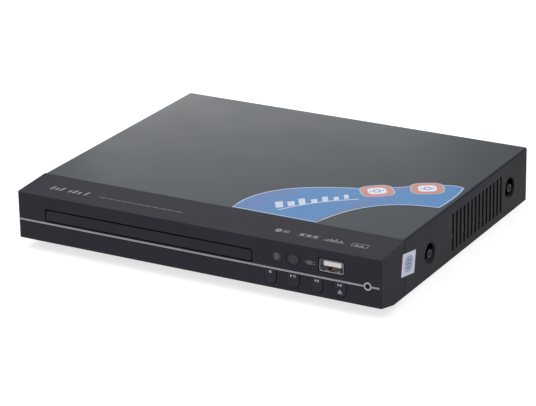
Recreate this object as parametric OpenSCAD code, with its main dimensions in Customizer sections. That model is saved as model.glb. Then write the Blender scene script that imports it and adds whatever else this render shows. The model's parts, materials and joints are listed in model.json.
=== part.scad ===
// Compact disc player with a sliding tray.
// Millimetres. +Z is up and the front faces -Y. The origin is on the ground under the middle of the
// player's box, feet and rear sockets included.

/* [Cabinet] */
// Width over the cover's sides
cabinet_w = 225; // [218:1:240]
// Depth of the folded cover
cover_d = 159; // [156:1:180]
// Height from the pan's underside to the top of the cover
cover_h = 32; // [31.5:0.5:40]
// Thickness of the folded sheet
sheet_t = 0.8; // [0.6:0.1:1]
// Outside radius of the cover's bends
bend_r = 1.2; // [1.1:0.1:3]
// Gap between neighbouring fixed pieces
seat_gap = 0.2; // [0.15:0.05:0.3]

/* [Bezel] */
// Depth of the bezel ahead of the cover
bezel_d = 28; // [27:0.5:32]
// How far the bezel's top falls towards the front
bezel_drop = 1.7; // [1:0.1:3]
// Wall of the bezel
bezel_wall = 2.2; // [1.6:0.1:2.6]
// Height of the chamfer along the bezel's foot
foot_chamfer_h = 3.3; // [2:0.1:4.5]
// Depth of the chamfer along the bezel's foot
foot_chamfer_d = 14.5; // [10:0.5:16]
// Radius of the bezel's front corners, seen from above
corner_r = 1; // [0.8:0.1:3]
// How far the trim and the button faces stand proud of the bezel
face_relief = 0.4; // [0.2:0.1:0.8]
// Dark seam between the bezel and the cover
seam_gap = 0.4; // [0.3:0.1:0.8]
// Length of the bezel's lip inside the cover
lip_l = 4; // [3:0.5:6]

/* [Front details] */
// Height of the silver stripe's middle above the pan's underside
stripe_z = 14.6; // [14:0.1:15]
// Height of the stripe
stripe_h = 1; // [0.8:0.1:1.4]
// Depth of the stripe's groove in the bezel
stripe_groove = 0.6; // [0.4:0.1:1]
// Distance of the lamp ring from the right side
lamp_inset = 7.8; // [7:0.1:12]
// Outside diameter of the lamp ring
lamp_d = 4.6; // [4:0.1:5.4]
// Diameter of the lamp in the ring
lamp_bore = 2.8; // [2:0.1:3]
// Distance of the first button's middle from the right side
button_first = 65.1; // [64:0.1:67]
// Distance between the buttons' middles
button_pitch = 13.75; // [13.4:0.05:14]
// Width of a button
button_w = 6.8; // [6:0.1:8]
// Height of a button
button_h = 8; // [7.4:0.1:8.4]
// Gap round a button
button_gap = 0.35; // [0.3:0.05:0.5]
// How far a button travels
button_travel = 0.8; // [0.4:0.1:1]
// Width of the infrared window
window_w = 8.7; // [7:0.1:9]
// Height of the infrared window
window_h = 7.2; // [6:0.1:7.4]
// Distance of the infrared window's middle from the right side
window_inset = 51.6; // [51:0.1:53]
// Width of the square indicator
indicator_w = 4.5; // [3.5:0.1:5]
// Distance of the indicator's middle from the right side
indicator_inset = 61; // [60.5:0.1:62]
// Width of the data socket's shell
socket_w = 14.8; // [14:0.1:15.4]
// Height of the data socket's shell
socket_h = 7.6; // [7:0.1:7.8]
// Depth of the data socket
socket_d = 12.4; // [11:0.2:12.6]
// Distance of the data socket's middle from the right side
socket_inset = 29; // [26:0.1:32]
// Height of the windows' and the socket's middle above the pan's underside
window_z = 21.6; // [21.4:0.1:22.4]

/* [Tray] */
// Distance of the tray's middle to the left of the player's middle
tray_offset = 29.2; // [26:0.1:30]
// Width of the tray's door
door_w = 129.8; // [129:0.1:133]
// Height of the tray's door
door_h = 5.9; // [5.6:0.1:6.4]
// Thickness of the tray's door
door_t = 3; // [2.5:0.1:3.6]
// Gap beside and below the tray's door
door_gap = 0.7; // [0.5:0.1:0.9]
// How far the door's middle sits below the tray's middle
door_sink = 0.4; // [0.2:0.1:0.5]
// Width of the tray
tray_w = 128; // [126:0.5:129]
// Length of the tray behind its door
tray_l = 153; // [150:1:156]
// Height of the tray
tray_t = 5.7; // [5.4:0.1:6]
// Height of the tray's underside above the pan's underside
tray_z = 16.6; // [16.5:0.1:16.8]
// Diameter of the recess for a 120 mm disc
disc_recess_d = 121.5; // [121:0.5:122.5]
// Diameter of the recess for an 80 mm disc
small_recess_d = 81.5; // [81:0.5:83]
// Depth of the recess for a 120 mm disc
disc_recess_depth = 2.3; // [1.8:0.1:2.4]
// Further depth of the recess for an 80 mm disc
small_recess_depth = 0.7; // [0.5:0.1:0.8]
// Thickness of the tray's floor and walls
tray_wall = 1.1; // [1:0.1:1.3]
// Width of the slot for the turntable and the pickup
tray_slot_w = 40; // [36:0.5:44]
// Distance from the door to the disc recess
recess_margin = 4.5; // [3:0.5:5]
// How far the tray travels
tray_travel = 125; // [110:1:126]
// Running gap round the tray
tray_gap = 0.4; // [0.3:0.05:0.5]

/* [Loader] */
// Height of the loader's base above the pan's underside
loader_base_z = 2.6; // [2.4:0.1:2.8]
// Thickness of the loader's base
loader_base_t = 1.8; // [1.5:0.1:2]
// Thickness of the loader's walls
loader_wall = 2.2; // [1.8:0.1:2.5]
// Length of the loader behind the disc's middle
loader_back = 95; // [95:0.5:98]
// Width of the ledge that carries the tray
ledge_w = 3; // [2.5:0.1:3.4]
// Thickness of the clamp bridge
bridge_t = 1; // [0.8:0.1:1.2]
// Length of the clamp bridge from front to back
bridge_d = 34; // [30:1:40]
// Diameter of the clamp puck
puck_d = 27; // [26:0.5:30]
// Diameter of the clamp puck's neck
puck_neck_d = 20; // [18:0.5:20.5]
// Diameter of the bridge's hole for the neck
bridge_hole_d = 22; // [21.5:0.1:23]

/* [Gear train] */
// Module of all gears
gear_m = 1; // [1:0.1:1]
// Teeth of the gear that drives the rack
rack_gear_teeth = 20; // [18:1:20]
// Teeth of the lower wheel on the same axle
wheel_teeth = 24; // [22:1:24]
// Teeth of the pulley's pinion
pinion_teeth = 12; // [12:1:14]
// Play between meshing teeth
backlash = 0.3; // [0.25:0.05:0.4]
// Diameter of the gears' axles
axle_d = 4; // [3:0.1:4.4]
// Radial clearance of axles and shafts
running_gap = 0.05; // [0.03:0.01:0.08]
// Radius of the big pulley's groove
pulley_r = 10.2; // [9.6:0.1:10.2]
// Radius of the motor pulley's groove
motor_pulley_r = 3.2; // [3:0.1:3.6]
// Thickness of the belt
belt_t = 1.2; // [1:0.1:1.2]
// Diameter of the loading motor
loading_motor_d = 21; // [19:0.5:21]

/* [Disc drive] */
// Width of the deck's plate
deck_w = 100; // [98:1:101]
// Thickness of the deck's plate
deck_t = 1.2; // [1:0.1:1.2]
// Height of the deck's underside above the pan's underside
deck_z = 14; // [13.9:0.1:14.1]
// Distance from the disc's middle to the deck's hinge
hinge_back = 88; // [87:0.5:88.5]
// How far the deck tilts to let the tray pass, in degrees
deck_tilt = 4.8; // [4.7:0.1:4.9]
// Diameter of the turntable
turntable_d = 31; // [28:0.5:33]
// Diameter of the spindle motor
spindle_motor_d = 24; // [22:0.5:25]
// Diameter of the spindle motor's shaft
spindle_d = 2; // [1.6:0.1:2.4]
// Diameter of the pickup's guide rods
rod_d = 3; // [2.5:0.1:3.2]
// Distance between the guide rods
rod_pitch = 44; // [42:0.5:46]
// Distance of the lens from the disc's middle at rest
lens_start = 24; // [24:0.5:26]
// How far the pickup travels
pickup_travel = 34; // [30:0.5:34]
// Diameter of the lead screw
lead_screw_d = 3; // [2.5:0.1:3.2]
// How far the cam slider travels
cam_travel = 26; // [24:0.5:27]

/* [Boards] */
// Thickness of the circuit boards
board_t = 1.6; // [1.2:0.1:1.6]
// Height of the boards above the pan
board_rise = 5; // [4:0.5:6]
// Width of the main and power boards
board_w = 60; // [56:1:62]
// Depth of the main board
main_board_d = 68; // [60:1:70]
// Depth of the power board
power_board_d = 54; // [50:1:56]

/* [Rear] */
// How far the sockets stand out behind the cover
jack_reach = 8.5; // [7:0.5:9]
// Outside diameter of a socket's sleeve
jack_d = 8.3; // [8.2:0.1:8.5]
// Bore of a socket's sleeve
jack_bore = 3.5; // [3.2:0.1:3.8]
// Distance between the sockets
jack_pitch = 13.5; // [13:0.5:14]
// Distance between the two rows of sockets
jack_row_pitch = 13; // [12:0.5:13]
// Width of the mains inlet's mouth
inlet_w = 17.5; // [17:0.1:18]
// Height of the mains inlet's mouth
inlet_h = 9; // [8.8:0.1:9.4]
// Depth of the mains inlet's mouth
inlet_depth = 12; // [11:0.5:13]
// Diameter of the mains inlet's pins
inlet_pin_d = 2.4; // [2.3:0.1:2.5]
// Distance between the mains inlet's pins
inlet_pin_pitch = 8.6; // [8.4:0.1:8.8]

/* [Vents and screws] */
// Number of vent slots in each side
vent_count = 14; // [8:1:14]
// Distance between vent slots
vent_pitch = 4.9; // [4:0.1:5]
// Width of a vent slot
vent_w = 2.2; // [1.5:0.1:2.8]
// Height of a vent slot
vent_h = 22; // [16:0.5:22]
// Distance of the first vent slot behind the seam
vent_start = 59.2; // [56:0.1:62]
// Diameter of the dimple round a side screw
dimple_d = 13; // [12:0.1:14]
// Depth of the dimple
dimple_depth = 1.6; // [1.2:0.1:1.8]
// Diameter of the screws
screw_d = 3; // [2.5:0.1:3]
// Diameter of the screws' heads
screw_head_d = 5.6; // [5.2:0.1:6]
// Height of the screws' heads
screw_head_h = 1.5; // [1.2:0.1:1.6]

/* [Feet] */
// Diameter of a foot
foot_d = 15; // [12:0.5:18]
// Height of a foot
foot_h = 3.5; // [3:0.1:5]
// Distance of the feet from the cabinet's sides
foot_inset = 20; // [16:0.5:24]

/* [Label] */
// Thickness of the label on the cover
label_t = 0.12; // [0.1:0.01:0.2]

/* [Hidden] */
$fn = 48;
eps = 0.01;
half_w = cabinet_w / 2;
total_d = bezel_d + cover_d + jack_reach;
y_front = -total_d / 2;
y_face = y_front + face_relief;
y_seam = y_front + bezel_d;
y_back = y_seam + cover_d;
z_pan = foot_h;
z_floor = z_pan + sheet_t;
z_top = z_pan + cover_h;
hole_gap = 0.1;

// Front details
z_stripe = z_pan + stripe_z;
z_window = z_pan + window_z;
x_window = half_w - window_inset;
x_indicator = half_w - indicator_inset;
x_socket = half_w - socket_inset;
x_lamp = half_w - lamp_inset;
button_x = [for (i = [0 : 3]) half_w - button_first + i * button_pitch];
z_button_top = z_stripe - stripe_h / 2 - button_gap;
flange = 0.8;
lip_t = 1.6;
y_inner = y_face + bezel_wall;
front_board_y = y_front + 13;
switch_h = 3.5;
switch_stem = 1.1;
front_board_x = x_indicator - 10;
front_board_w = half_w - bezel_wall - 2 - front_board_x;
front_board_z = z_pan + 5;
front_board_h = 23;
switch_z = z_button_top - button_h / 2;

// Tray and loader
disc_x = -tray_offset;
y_tray = y_face + door_t;
disc_y = y_tray + recess_margin + disc_recess_d / 2;
z_tray = z_pan + tray_z;
z_tray_top = z_tray + tray_t;
z_small_floor = z_tray_top - disc_recess_depth - small_recess_depth;
z_under_floor = z_small_floor - tray_wall;
z_door = z_tray + tray_t / 2 - door_sink;
z_slot0 = z_door - door_h / 2 - door_gap;
z_slot1 = max(z_door + door_h / 2, z_tray_top) + door_gap;
skirt_t = 2;
loader_y0 = y_front + 16;
loader_y1 = disc_y + loader_back;
rail_y0 = y_front + 6;
wall_in = tray_w / 2 + tray_gap;
wall_out = wall_in + loader_wall;
z_base = z_pan + loader_base_z;
z_base_top = z_base + loader_base_t;
z_ledge = z_tray - 0.3;
ledge_t = 2;
z_hook = z_tray_top + 0.3;
hook_t = 1.5;
z_bridge = z_tray_top + 2.7;
z_bridge_top = z_bridge + bridge_t;
well_y0 = disc_y - 34.7;
lug_x = wall_in - 6;
lug_y = [loader_y0 + 33, loader_y1 - 22];
boss_x = wall_out + 1.5;

// Disc drive
z_deck = z_pan + deck_z;
z_deck_top = z_deck + deck_t;
hinge_y = disc_y + hinge_back;
z_hinge = z_pan + 10;
hinge_pin_d = 5;
lift_half = deck_w / 2 + 1;
lift_in = lift_half - 9;
ear_x = lift_half + 3;
ear_t = 3;
well_half = lift_half + 2;
lift_y0 = disc_y - 28;
lift_y1 = disc_y + 84;
z_lift = z_pan + 10.9;
z_lift_top = z_deck - 0.8;
bush_x = deck_w / 2 - 3.5;
bush_y = [disc_y - 19, disc_y + 74];
bush_d = 9;
bush_neck_d = 5;
bush_post_d = 2.6;
arm_x = bush_x - 2.5;
z_bush_top = z_deck_top + 0.9;
deck_y0 = disc_y - 24;
deck_y1 = disc_y + 80;
z_flange = z_tray_top - 0.5;
flange_t = 1.6;
cone_h = 1.7;
cone_d = 14.8;
z_rod = z_pan + 11.7;
rod_y0 = disc_y + 12.5;
pickup_front = 8;
pickup_back = 18;
pickup_head = 7.5;
lens_y = disc_y + lens_start;
rod_y1 = lens_y + pickup_travel + pickup_back + 3.5;
z_pickup = z_pan + 8.1;
screw_x = 31;
z_screw = z_pan + 9.7;
screw_y0 = disc_y + 17;
screw_y1 = disc_y + 73;
cam_pin_x = 22;
cam_pin_d = 3;
z_cam_pin = z_pan + 15;
cam_t = 3;
cam_y1 = lift_y0 - 3;
cam_y0 = cam_y1 - cam_t;
cam_drop = (hinge_y - cam_y0 - cam_t / 2) * sin(deck_tilt);
cam_gap = 0.45;
cam_end = 4.3;
z_cam_top = z_under_floor - tray_gap;
cam_flange_y = cam_y0 - 2.5;

// Gear train
addendum = 0.8;
dedendum = 1.15;
pressure = 20;
gear_y = y_front + 20;
rack_r = gear_m * rack_gear_teeth / 2;
wheel_r = gear_m * wheel_teeth / 2;
pinion_r = gear_m * pinion_teeth / 2;
rack_x = 7.5 - tray_w / 2;
gear_x = rack_x + rack_r;
pulley_x = gear_x + wheel_r + pinion_r;
motor_x = pulley_x + 30.5;
motor_y = gear_y + 1;
z_rack = z_under_floor - 2.4;
z_rack_gear = z_rack + 0.1;
rack_gear_h = 2;
z_wheel = z_pan + 10;
wheel_h = 3;
z_pulley = z_rack_gear - 2.4;
pulley_h = 1.8;
belt_gap = 0.15;
belt_h = 1.2;
hub_r = wheel_r + pinion_r - pulley_r - belt_gap - belt_t - 0.55;
z_belt = z_pulley + (pulley_h - belt_h) / 2;
loading_motor_h = 8.6;
motor_shaft_d = 2;
rack_y0 = gear_y - 5;
rack_teeth = ceil((tray_travel + 10) / (PI * gear_m));

// Boards
z_board = z_floor + board_rise;
z_board_top = z_board + board_t;
board_x = half_w - sheet_t - 3 - board_w;
main_board_y = y_seam + 8;
power_board_y = main_board_y + main_board_d + 6;
standoff_d = 5;
board_hole_inset = 4;

// Rear
y_panel = y_back - sheet_t - 0.1;
y_panel_in = y_panel - sheet_t;
jack_x = disc_x - 30;
jack_cols = 3;
z_jack = z_pan + 10.8;
jack_block_w = jack_cols * jack_pitch + 2;
jack_block_d = 12;
jack_stem_d = jack_d - 1;
z_av_board = z_floor + 1.6;
inlet_x = half_w - 21;
z_inlet = z_pan + 12;
inlet_flange = 2.2;
tab_w = 12;
tab_h = 8;
tab_x = [-half_w + 12, 0, inlet_x - 34];
side_screws = [[y_seam + 30.3, z_pan + 13.2], [y_back - 23.7, z_pan + 15.2]];
foot_y = [y_seam + 16, y_back - 18];
foot_x = half_w - foot_inset;
pan_half = half_w - sheet_t - seat_gap;
pan_side_h = 5;

// ---- helpers ----

// Extrudes a drawing in the (x, z) plane from y0 to y1
module along_y(y0, y1) translate([0, y1, 0]) rotate([90, 0, 0]) linear_extrude(y1 - y0) children();

// Extrudes a drawing in the (y, z) plane from x0 to x1
module along_x(x0, x1) translate([x0, 0, 0]) rotate([90, 0, 90]) linear_extrude(x1 - x0) children();

// Puts a copy of its children on the left and on the right of the middle plane
module both_sides() {
    children();
    mirror([1, 0, 0]) children();
}

module box(low, high) translate(low) cube(high - low);

// Rectangle with round corners, about its middle
module rounded_rect(w, h, r) {
    square([w - 2 * r, h], center = true);
    square([w, h - 2 * r], center = true);
    for (sx = [-1, 1], sy = [-1, 1]) {
        translate([sx * (w / 2 - r), sy * (h / 2 - r)]) circle(r);
    }
}

// Upright plate with round corners, standing on z = 0
module rounded_plate(w, d, h, r) linear_extrude(h) rounded_rect(w, d, r);

module tube(od, id, h) difference() {
    cylinder(d = od, h = h);
    translate([0, 0, -1]) cylinder(d = id, h = h + 2);
}

// Round bar along Y from y0 to y1
module rod_y(d, y0, y1) translate([0, y0, 0]) rotate([-90, 0, 0]) cylinder(d = d, h = y1 - y0);

// Round bar along X from x0 to x1
module rod_x(d, x0, x1) translate([x0, 0, 0]) rotate([0, 90, 0]) cylinder(d = d, h = x1 - x0);

// Straight slot with round ends, of width w, between two points of a drawing
module slot_2d(a, b, w) {
    reach = norm(b - a);
    turn = atan2(b[1] - a[1], b[0] - a[0]);
    translate(a) rotate(turn) {
        translate([0, -w / 2]) square([reach, w]);
        circle(d = w);
        translate([reach, 0]) circle(d = w);
    }
}

// Pan-head screw along -Z, its head's underside at the origin
module screw(shank_l) {
    difference() {
        cylinder(d1 = screw_head_d, d2 = screw_head_d - 1, h = screw_head_h);
        for (turn = [0, 90]) rotate(turn) {
            translate([-screw_head_d * 0.3, -0.4, screw_head_h - 0.8]) cube([screw_head_d * 0.6, 0.8, 2]);
        }
    }
    translate([0, 0, -shank_l]) cylinder(d = screw_d, h = shank_l + eps);
}

screw_hole_d = screw_d + 2 * hole_gap;

// ---- gears ----

function involute_angle(a) = tan(a) * 180 / PI - a;

// Half the angle that a tooth fills at radius r
function tooth_half_angle(teeth, r) =
    let (pitch_r = gear_m * teeth / 2, base_r = pitch_r * cos(pressure), here = max(r, base_r))
    90 / teeth - backlash / 4 / pitch_r * 180 / PI
    + involute_angle(pressure) - involute_angle(acos(base_r / here));

function gear_radii(teeth) =
    let (pitch_r = gear_m * teeth / 2, tip = pitch_r + addendum * gear_m,
        root = pitch_r - dedendum * gear_m)
    [for (i = [0 : 4]) root + (tip - root) * i / 4];

function gear_points(teeth) = let (radii = gear_radii(teeth)) [
    for (i = [0 : teeth - 1], side = [-1, 1], k = [0 : 4])
        let (r = radii[side < 0 ? k : 4 - k], a = i * 360 / teeth + side * tooth_half_angle(teeth, r))
        [r * cos(a), r * sin(a)]
];

module gear(teeth, h) linear_extrude(h) polygon(gear_points(teeth));

// ---- cabinet ----

// Outline of a piece that fits inside the cover, from low upwards, in the (x, z) plane
module inside_cover(low) {
    half = half_w - sheet_t - seat_gap;
    top = z_top - sheet_t - seat_gap;
    cut = bend_r / 2;
    polygon([
        [-half, low], [half, low], [half, top - cut],
        [half - cut, top], [-half + cut, top], [-half, top - cut]
    ]);
}

// Cross-section of the folded cover, in the (x, z) plane
module cover_section(t, half, top) {
    translate([-half + bend_r, top - t]) square([2 * (half - bend_r), t]);
    both_sides_2d() {
        translate([half - t, z_pan]) square([t, top - bend_r - z_pan]);
        translate([half - bend_r, top - bend_r]) intersection() {
            difference() {
                circle(bend_r);
                circle(bend_r - t);
            }
            square(bend_r + 1);
        }
    }
}

module both_sides_2d() {
    children();
    mirror([1, 0]) children();
}

// Drawing of the side vents in the (y, z) plane
module vent_slots() {
    low = z_pan + 15.2 - vent_h / 2 + vent_w / 2;
    for (i = [0 : vent_count - 1]) {
        y = y_seam + vent_start + i * vent_pitch;
        slot_2d([y, low], [y, low + vent_h - vent_w], vent_w);
    }
}

// Pressed seat of a side screw, its axis along +X and its outer rim on x = 0
module dimple_wall() rotate([0, 90, 0]) rotate_extrude() polygon([
    [screw_hole_d / 2, -dimple_depth - sheet_t],
        [dimple_d / 2 - dimple_depth + sheet_t, -dimple_depth - sheet_t],
    [dimple_d / 2 + sheet_t, 0], [dimple_d / 2, 0],
    [dimple_d / 2 - dimple_depth, -dimple_depth], [screw_hole_d / 2, -dimple_depth]
]);

module dimple_cut() rotate([0, 90, 0]) {
    translate([0, 0, -dimple_depth])
        cylinder(r1 = dimple_d / 2 - dimple_depth, r2 = dimple_d / 2, h = dimple_depth + eps);
    translate([0, 0, -5]) cylinder(d = screw_hole_d, h = 8);
}

module top_cover() color("#55595c") difference() {
    union() {
        along_y(y_seam, y_back) cover_section(sheet_t, half_w, z_top);
        both_sides() for (s = side_screws) {
            translate([half_w, s[0], s[1]]) dimple_wall();
        }
        for (x = tab_x) box([x - tab_w / 2, y_back - sheet_t, z_top - tab_h],
            [x + tab_w / 2, y_back, z_top - eps]);
    }
    both_sides() {
        along_x(half_w - sheet_t - 1, half_w + 1) vent_slots();
        for (s = side_screws) translate([half_w, s[0], s[1]]) dimple_cut();
    }
    for (x = tab_x) translate([x, 0, z_top - tab_h / 2 - 0.4]) rod_y(screw_hole_d, y_back - 2, y_back + 1);
}

// Folded pan with side flanges that carry the cover
module bottom_chassis() color("#9a9c9e") difference() {
    union() {
        box([-pan_half, y_seam, z_pan], [pan_half, y_panel_in - seat_gap, z_floor]);
        both_sides() {
            box([pan_half - sheet_t, y_seam + lip_l + 1, z_pan],
                [pan_half, y_panel_in - seat_gap, z_pan + pan_side_h]);
            for (s = side_screws) side_tower(s);
        }
    }
    for (sx = [-1, 1], y = foot_y) translate([sx * foot_x, y, z_pan - 1]) cylinder(d = screw_hole_d, h = 5);
    both_sides() for (s = side_screws) {
        translate([half_w, s[0], s[1]]) rod_x(screw_hole_d, -10, 1);
    }
    // Cooling holes under the boards
    for (i = [0 : 5], k = [0 : 3]) {
        translate([board_x + 12 + i * 7, main_board_y + 22 + k * 8, z_pan - 1]) cylinder(d = 3.4, h = 4);
    }
}

// Upright tab of the pan behind a side screw
module side_tower(s) {
    x_tab = half_w - dimple_depth - sheet_t - 0.15 - sheet_t;
    box([x_tab, s[0] - 7, z_pan], [x_tab + sheet_t, s[0] + 7, s[1] + 5]);
    box([x_tab, s[0] - 7, z_pan], [pan_half, s[0] + 7, z_floor]);
}

module jack_places() {
    for (i = [0 : jack_cols - 1], row = [0, 1]) {
        translate([jack_x + (i - (jack_cols - 1) / 2) * jack_pitch, 0, z_jack + row * jack_row_pitch])
            children();
    }
}

module rear_panel() color("#8d9092") difference() {
    union() {
        along_y(y_panel_in, y_panel) inside_cover(z_pan);
        box([-pan_half + 2, y_panel_in - 8, z_floor + eps],
            [disc_x - 60, y_panel_in + eps, z_floor + sheet_t]);
        box([pan_half - 8, y_panel_in - 8, z_floor + eps],
            [pan_half - 2, y_panel_in + eps, z_floor + sheet_t]);
    }
    jack_places() rod_y(jack_stem_d + 2 * seat_gap, y_panel_in - 1, y_panel + 1);
    along_y(y_panel_in - 1, y_panel + 1) translate([inlet_x, z_inlet])
        inlet_outline(inlet_flange + seat_gap);
    for (x = tab_x) translate([x, 0, z_top - tab_h / 2 - 0.4])
        rod_y(screw_hole_d, y_panel_in - 1, y_panel + 1);
    // Rear vents above the mains inlet
    for (i = [0 : 4]) {
        along_y(y_panel_in - 1, y_panel + 1)
            slot_2d([inlet_x - 14 + i * 7, z_top - 9], [inlet_x - 14 + i * 7, z_top - 5], 2);
    }
}

// Bezel's outline in the (y, z) plane, drawn in by wall
module bezel_section(wall, rear) {
    rise = atan(foot_chamfer_h / foot_chamfer_d);
    fall = atan(bezel_drop / (bezel_d - face_relief));
    up = wall / cos(rise);
    down = wall / cos(fall);
    foot_y0 = y_face + foot_chamfer_d * (1 + (up - wall) / foot_chamfer_h);
    polygon([
        [rear, z_pan + wall], [foot_y0, z_pan + wall],
        [y_face + wall, z_pan + foot_chamfer_h * (1 - wall / foot_chamfer_d) + up],
        [y_face + wall, z_top - bezel_drop * (1 - wall / (bezel_d - face_relief)) - down],
        [y_seam, z_top - down], [rear, z_top - down]
    ]);
}

module button_outline(gap) {
    r = button_w / 2 + gap;
    translate([0, r - gap]) circle(r);
    translate([-r, r - gap]) square([2 * r, button_h - r + 2 * gap]);
}

module inlet_outline(grow) {
    rounded_rect(inlet_w + 2 * grow, inlet_h + 2 * grow, 3 + grow);
}

module front_bezel() color("#2f2d33") difference() {
    union() {
        difference() {
            intersection() {
                along_x(-half_w, half_w) bezel_section(0, y_seam - seam_gap);
                translate([0, y_face + bezel_d, z_pan - 1])
                    rounded_plate(cabinet_w, 2 * bezel_d, cover_h + 2, corner_r);
            }
            along_x(-half_w + bezel_wall, half_w - bezel_wall) bezel_section(bezel_wall, y_seam + 1);
        }
        // Lip that enters the cover
        difference() {
            along_y(y_seam - 3, y_seam + lip_l) inside_cover(z_pan + bezel_wall - 0.6);
            box([-pan_half + lip_t, y_seam - 4, z_pan - 1],
                [pan_half - lip_t, y_seam + lip_l + 1, z_top - sheet_t - seat_gap - lip_t]);
        }
        // Posts that carry the front board
        for (x = [front_board_x + 3, front_board_x + front_board_w - 3]) {
            translate([x, 0, front_board_z + front_board_h - 4]) rod_y(5, y_inner - 0.5, front_board_y);
        }
    }
    along_y(y_front - 1, y_inner + 1) {
        translate([disc_x, (z_slot0 + z_slot1) / 2])
            rounded_rect(door_w + 2 * door_gap, z_slot1 - z_slot0, 1);
        for (x = button_x) translate([x, z_button_top - button_h]) button_outline(button_gap);
        translate([x_window, z_window]) scale([window_w / window_h, 1]) circle(d = window_h + 2 * hole_gap);
        translate([x_indicator, z_window])
            rounded_rect(indicator_w + 2 * hole_gap, indicator_w + 2 * hole_gap, 0.5);
        translate([x_socket, z_window]) rounded_rect(socket_w + 0.6, socket_h + 0.6, 0.9);
        translate([x_lamp, z_stripe]) circle(d = lamp_bore + 2 * hole_gap);
    }
    along_y(y_front - 1, y_face + stripe_groove) {
        translate([-half_w - 1, z_stripe - stripe_h / 2 - hole_gap])
            square([cabinet_w + 1 - corner_r + hole_gap, stripe_h + 2 * hole_gap]);
        translate([x_lamp, z_stripe]) circle(d = lamp_d + 2 * hole_gap);
    }
    for (x = [front_board_x + 3, front_board_x + front_board_w - 3]) {
        translate([x, 0, front_board_z + front_board_h - 4])
            rod_y(screw_hole_d, y_inner + 1, front_board_y + 1);
    }
}

module stripe_trim() color("#a7a8b0") difference() {
    intersection() {
        along_y(y_front, y_face + stripe_groove - hole_gap)
            translate([-half_w, z_stripe - stripe_h / 2]) square([cabinet_w - corner_r, stripe_h]);
        translate([0, y_front + bezel_d, z_pan])
            rounded_plate(cabinet_w, 2 * bezel_d, cover_h, corner_r + face_relief);
    }
    translate([x_lamp, 0, z_stripe]) rod_y(lamp_d + 2 * hole_gap, y_front - 1, y_face + 2);
}

module lamp_ring() color("#c9cace") translate([x_lamp, y_face + stripe_groove - hole_gap, z_stripe])
    rotate([90, 0, 0]) {
    tube(lamp_d, lamp_bore, stripe_groove - hole_gap + face_relief);
}

module power_lamp() color("#3a1010") translate([x_lamp, 0, z_stripe]) {
    rod_y(lamp_bore - 2 * hole_gap, y_face + 0.1, y_inner + 3);
    rod_y(lamp_bore + 1.4, y_inner + 0.2, y_inner + 3);
}

module ir_window() color("#3b1216") {
    along_y(y_face + 0.1, y_inner + 0.2)
        translate([x_window, z_window]) scale([window_w / window_h, 1]) circle(d = window_h);
    along_y(y_inner + 0.15, y_inner + 1.2)
        translate([x_window, z_window]) rounded_rect(window_w + 1, window_h + 2, 1);
}

module indicator_lens() color("#8f9296") {
    along_y(y_face - 0.1, y_inner + 0.2)
        translate([x_indicator, z_window]) rounded_rect(indicator_w, indicator_w, 0.4);
    along_y(y_inner + 0.15, y_inner + 1.2)
        translate([x_indicator - 0.4, z_window]) rounded_rect(indicator_w + 1, indicator_w + 2, 0.6);
}

module socket_shell() color("#c4c6c8") translate([x_socket, 0, z_window]) {
    wall = 0.4;
    y0 = y_face + 0.2;
    difference() {
        along_y(y0, y0 + socket_d) rounded_rect(socket_w - 0.6, socket_h - 0.6, 0.9);
        along_y(y0 - 1, y0 + socket_d - wall)
            rounded_rect(socket_w - 0.6 - 2 * wall, socket_h - 0.6 - 2 * wall, 0.6);
    }
}

module socket_tongue() color("#26352f") translate([x_socket, 0, z_window]) {
    y1 = y_face + 0.2 + socket_d - 0.4 - 0.05;
    inside = socket_h / 2 - 0.3 - 0.4;
    along_y(y1 - 2, y1) rounded_rect(socket_w - 1.7, 2 * inside - 0.1, 0.6);
    box([-5, y1 - 10.9, inside - 3.4], [5, y1 - 1, inside - 1]);
    for (i = [-1.5 : 1 : 1.5]) {
        box([i * 2.4 - 0.5, y1 - 10.7, inside - 3.6], [i * 2.4 + 0.5, y1 - 1, inside - 3.3]);
    }
}

// A button's cap faces -Y, with a flange behind the bezel's wall and a plunger towards its switch
module button_cap(i) color("#2b2a2f") {
    rim = button_gap + flange;
    plunger_end = front_board_y - switch_h - switch_stem - button_travel - 0.3;
    along_y(y_front, y_inner + 0.4) translate([button_x[i], z_button_top - button_h]) button_outline(0);
    along_y(y_inner + 0.3, y_inner + 1.3) translate([button_x[i], z_button_top - (button_h - rim) / 2])
        rounded_rect(button_w + 2 * rim, button_h + rim, 1);
    translate([button_x[i], 0, switch_z]) rod_y(2.6, y_inner + 1, plunger_end);
}

module stop_button() button_cap(0);
module play_button() button_cap(1);
module skip_button() button_cap(2);
module eject_button() button_cap(3);

// ---- boards ----

module front_board() color("#2f6b3c") difference() {
    box([front_board_x, front_board_y, front_board_z],
        [front_board_x + front_board_w, front_board_y + board_t, front_board_z + front_board_h]);
    for (x = [front_board_x + 3, front_board_x + front_board_w - 3]) {
        translate([x, 0, front_board_z + front_board_h - 4])
            rod_y(screw_hole_d, front_board_y - 1, front_board_y + 3);
    }
}

module button_switches() color("#3a3a3d") for (x = button_x) {
    box([x - 3, front_board_y - switch_h, switch_z - 3], [x + 3, front_board_y, switch_z + 3]);
    translate([x, 0, switch_z])
        rod_y(3.5, front_board_y - switch_h - switch_stem, front_board_y - switch_h + eps);
}

module ir_receiver() color("#222226") {
    box([x_window - 3, front_board_y - 4.6, z_window - 3.4], [x_window + 3, front_board_y, z_window + 3.4]);
    translate([x_window, 0, z_window]) rod_y(4.4, front_board_y - 6.4, front_board_y - 4.6 + eps);
}

module board_at(x, y, d) difference() {
    box([x, y, z_board], [x + board_w, y + d, z_board_top]);
    board_corners(x, y, d) translate([0, 0, z_board - 1]) cylinder(d = screw_hole_d, h = board_t + 2);
}

module board_corners(x, y, d) {
    for (sx = [board_hole_inset, board_w - board_hole_inset],
        sy = [board_hole_inset, d - board_hole_inset]) {
        translate([x + sx, y + sy, 0]) children();
    }
}

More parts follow.
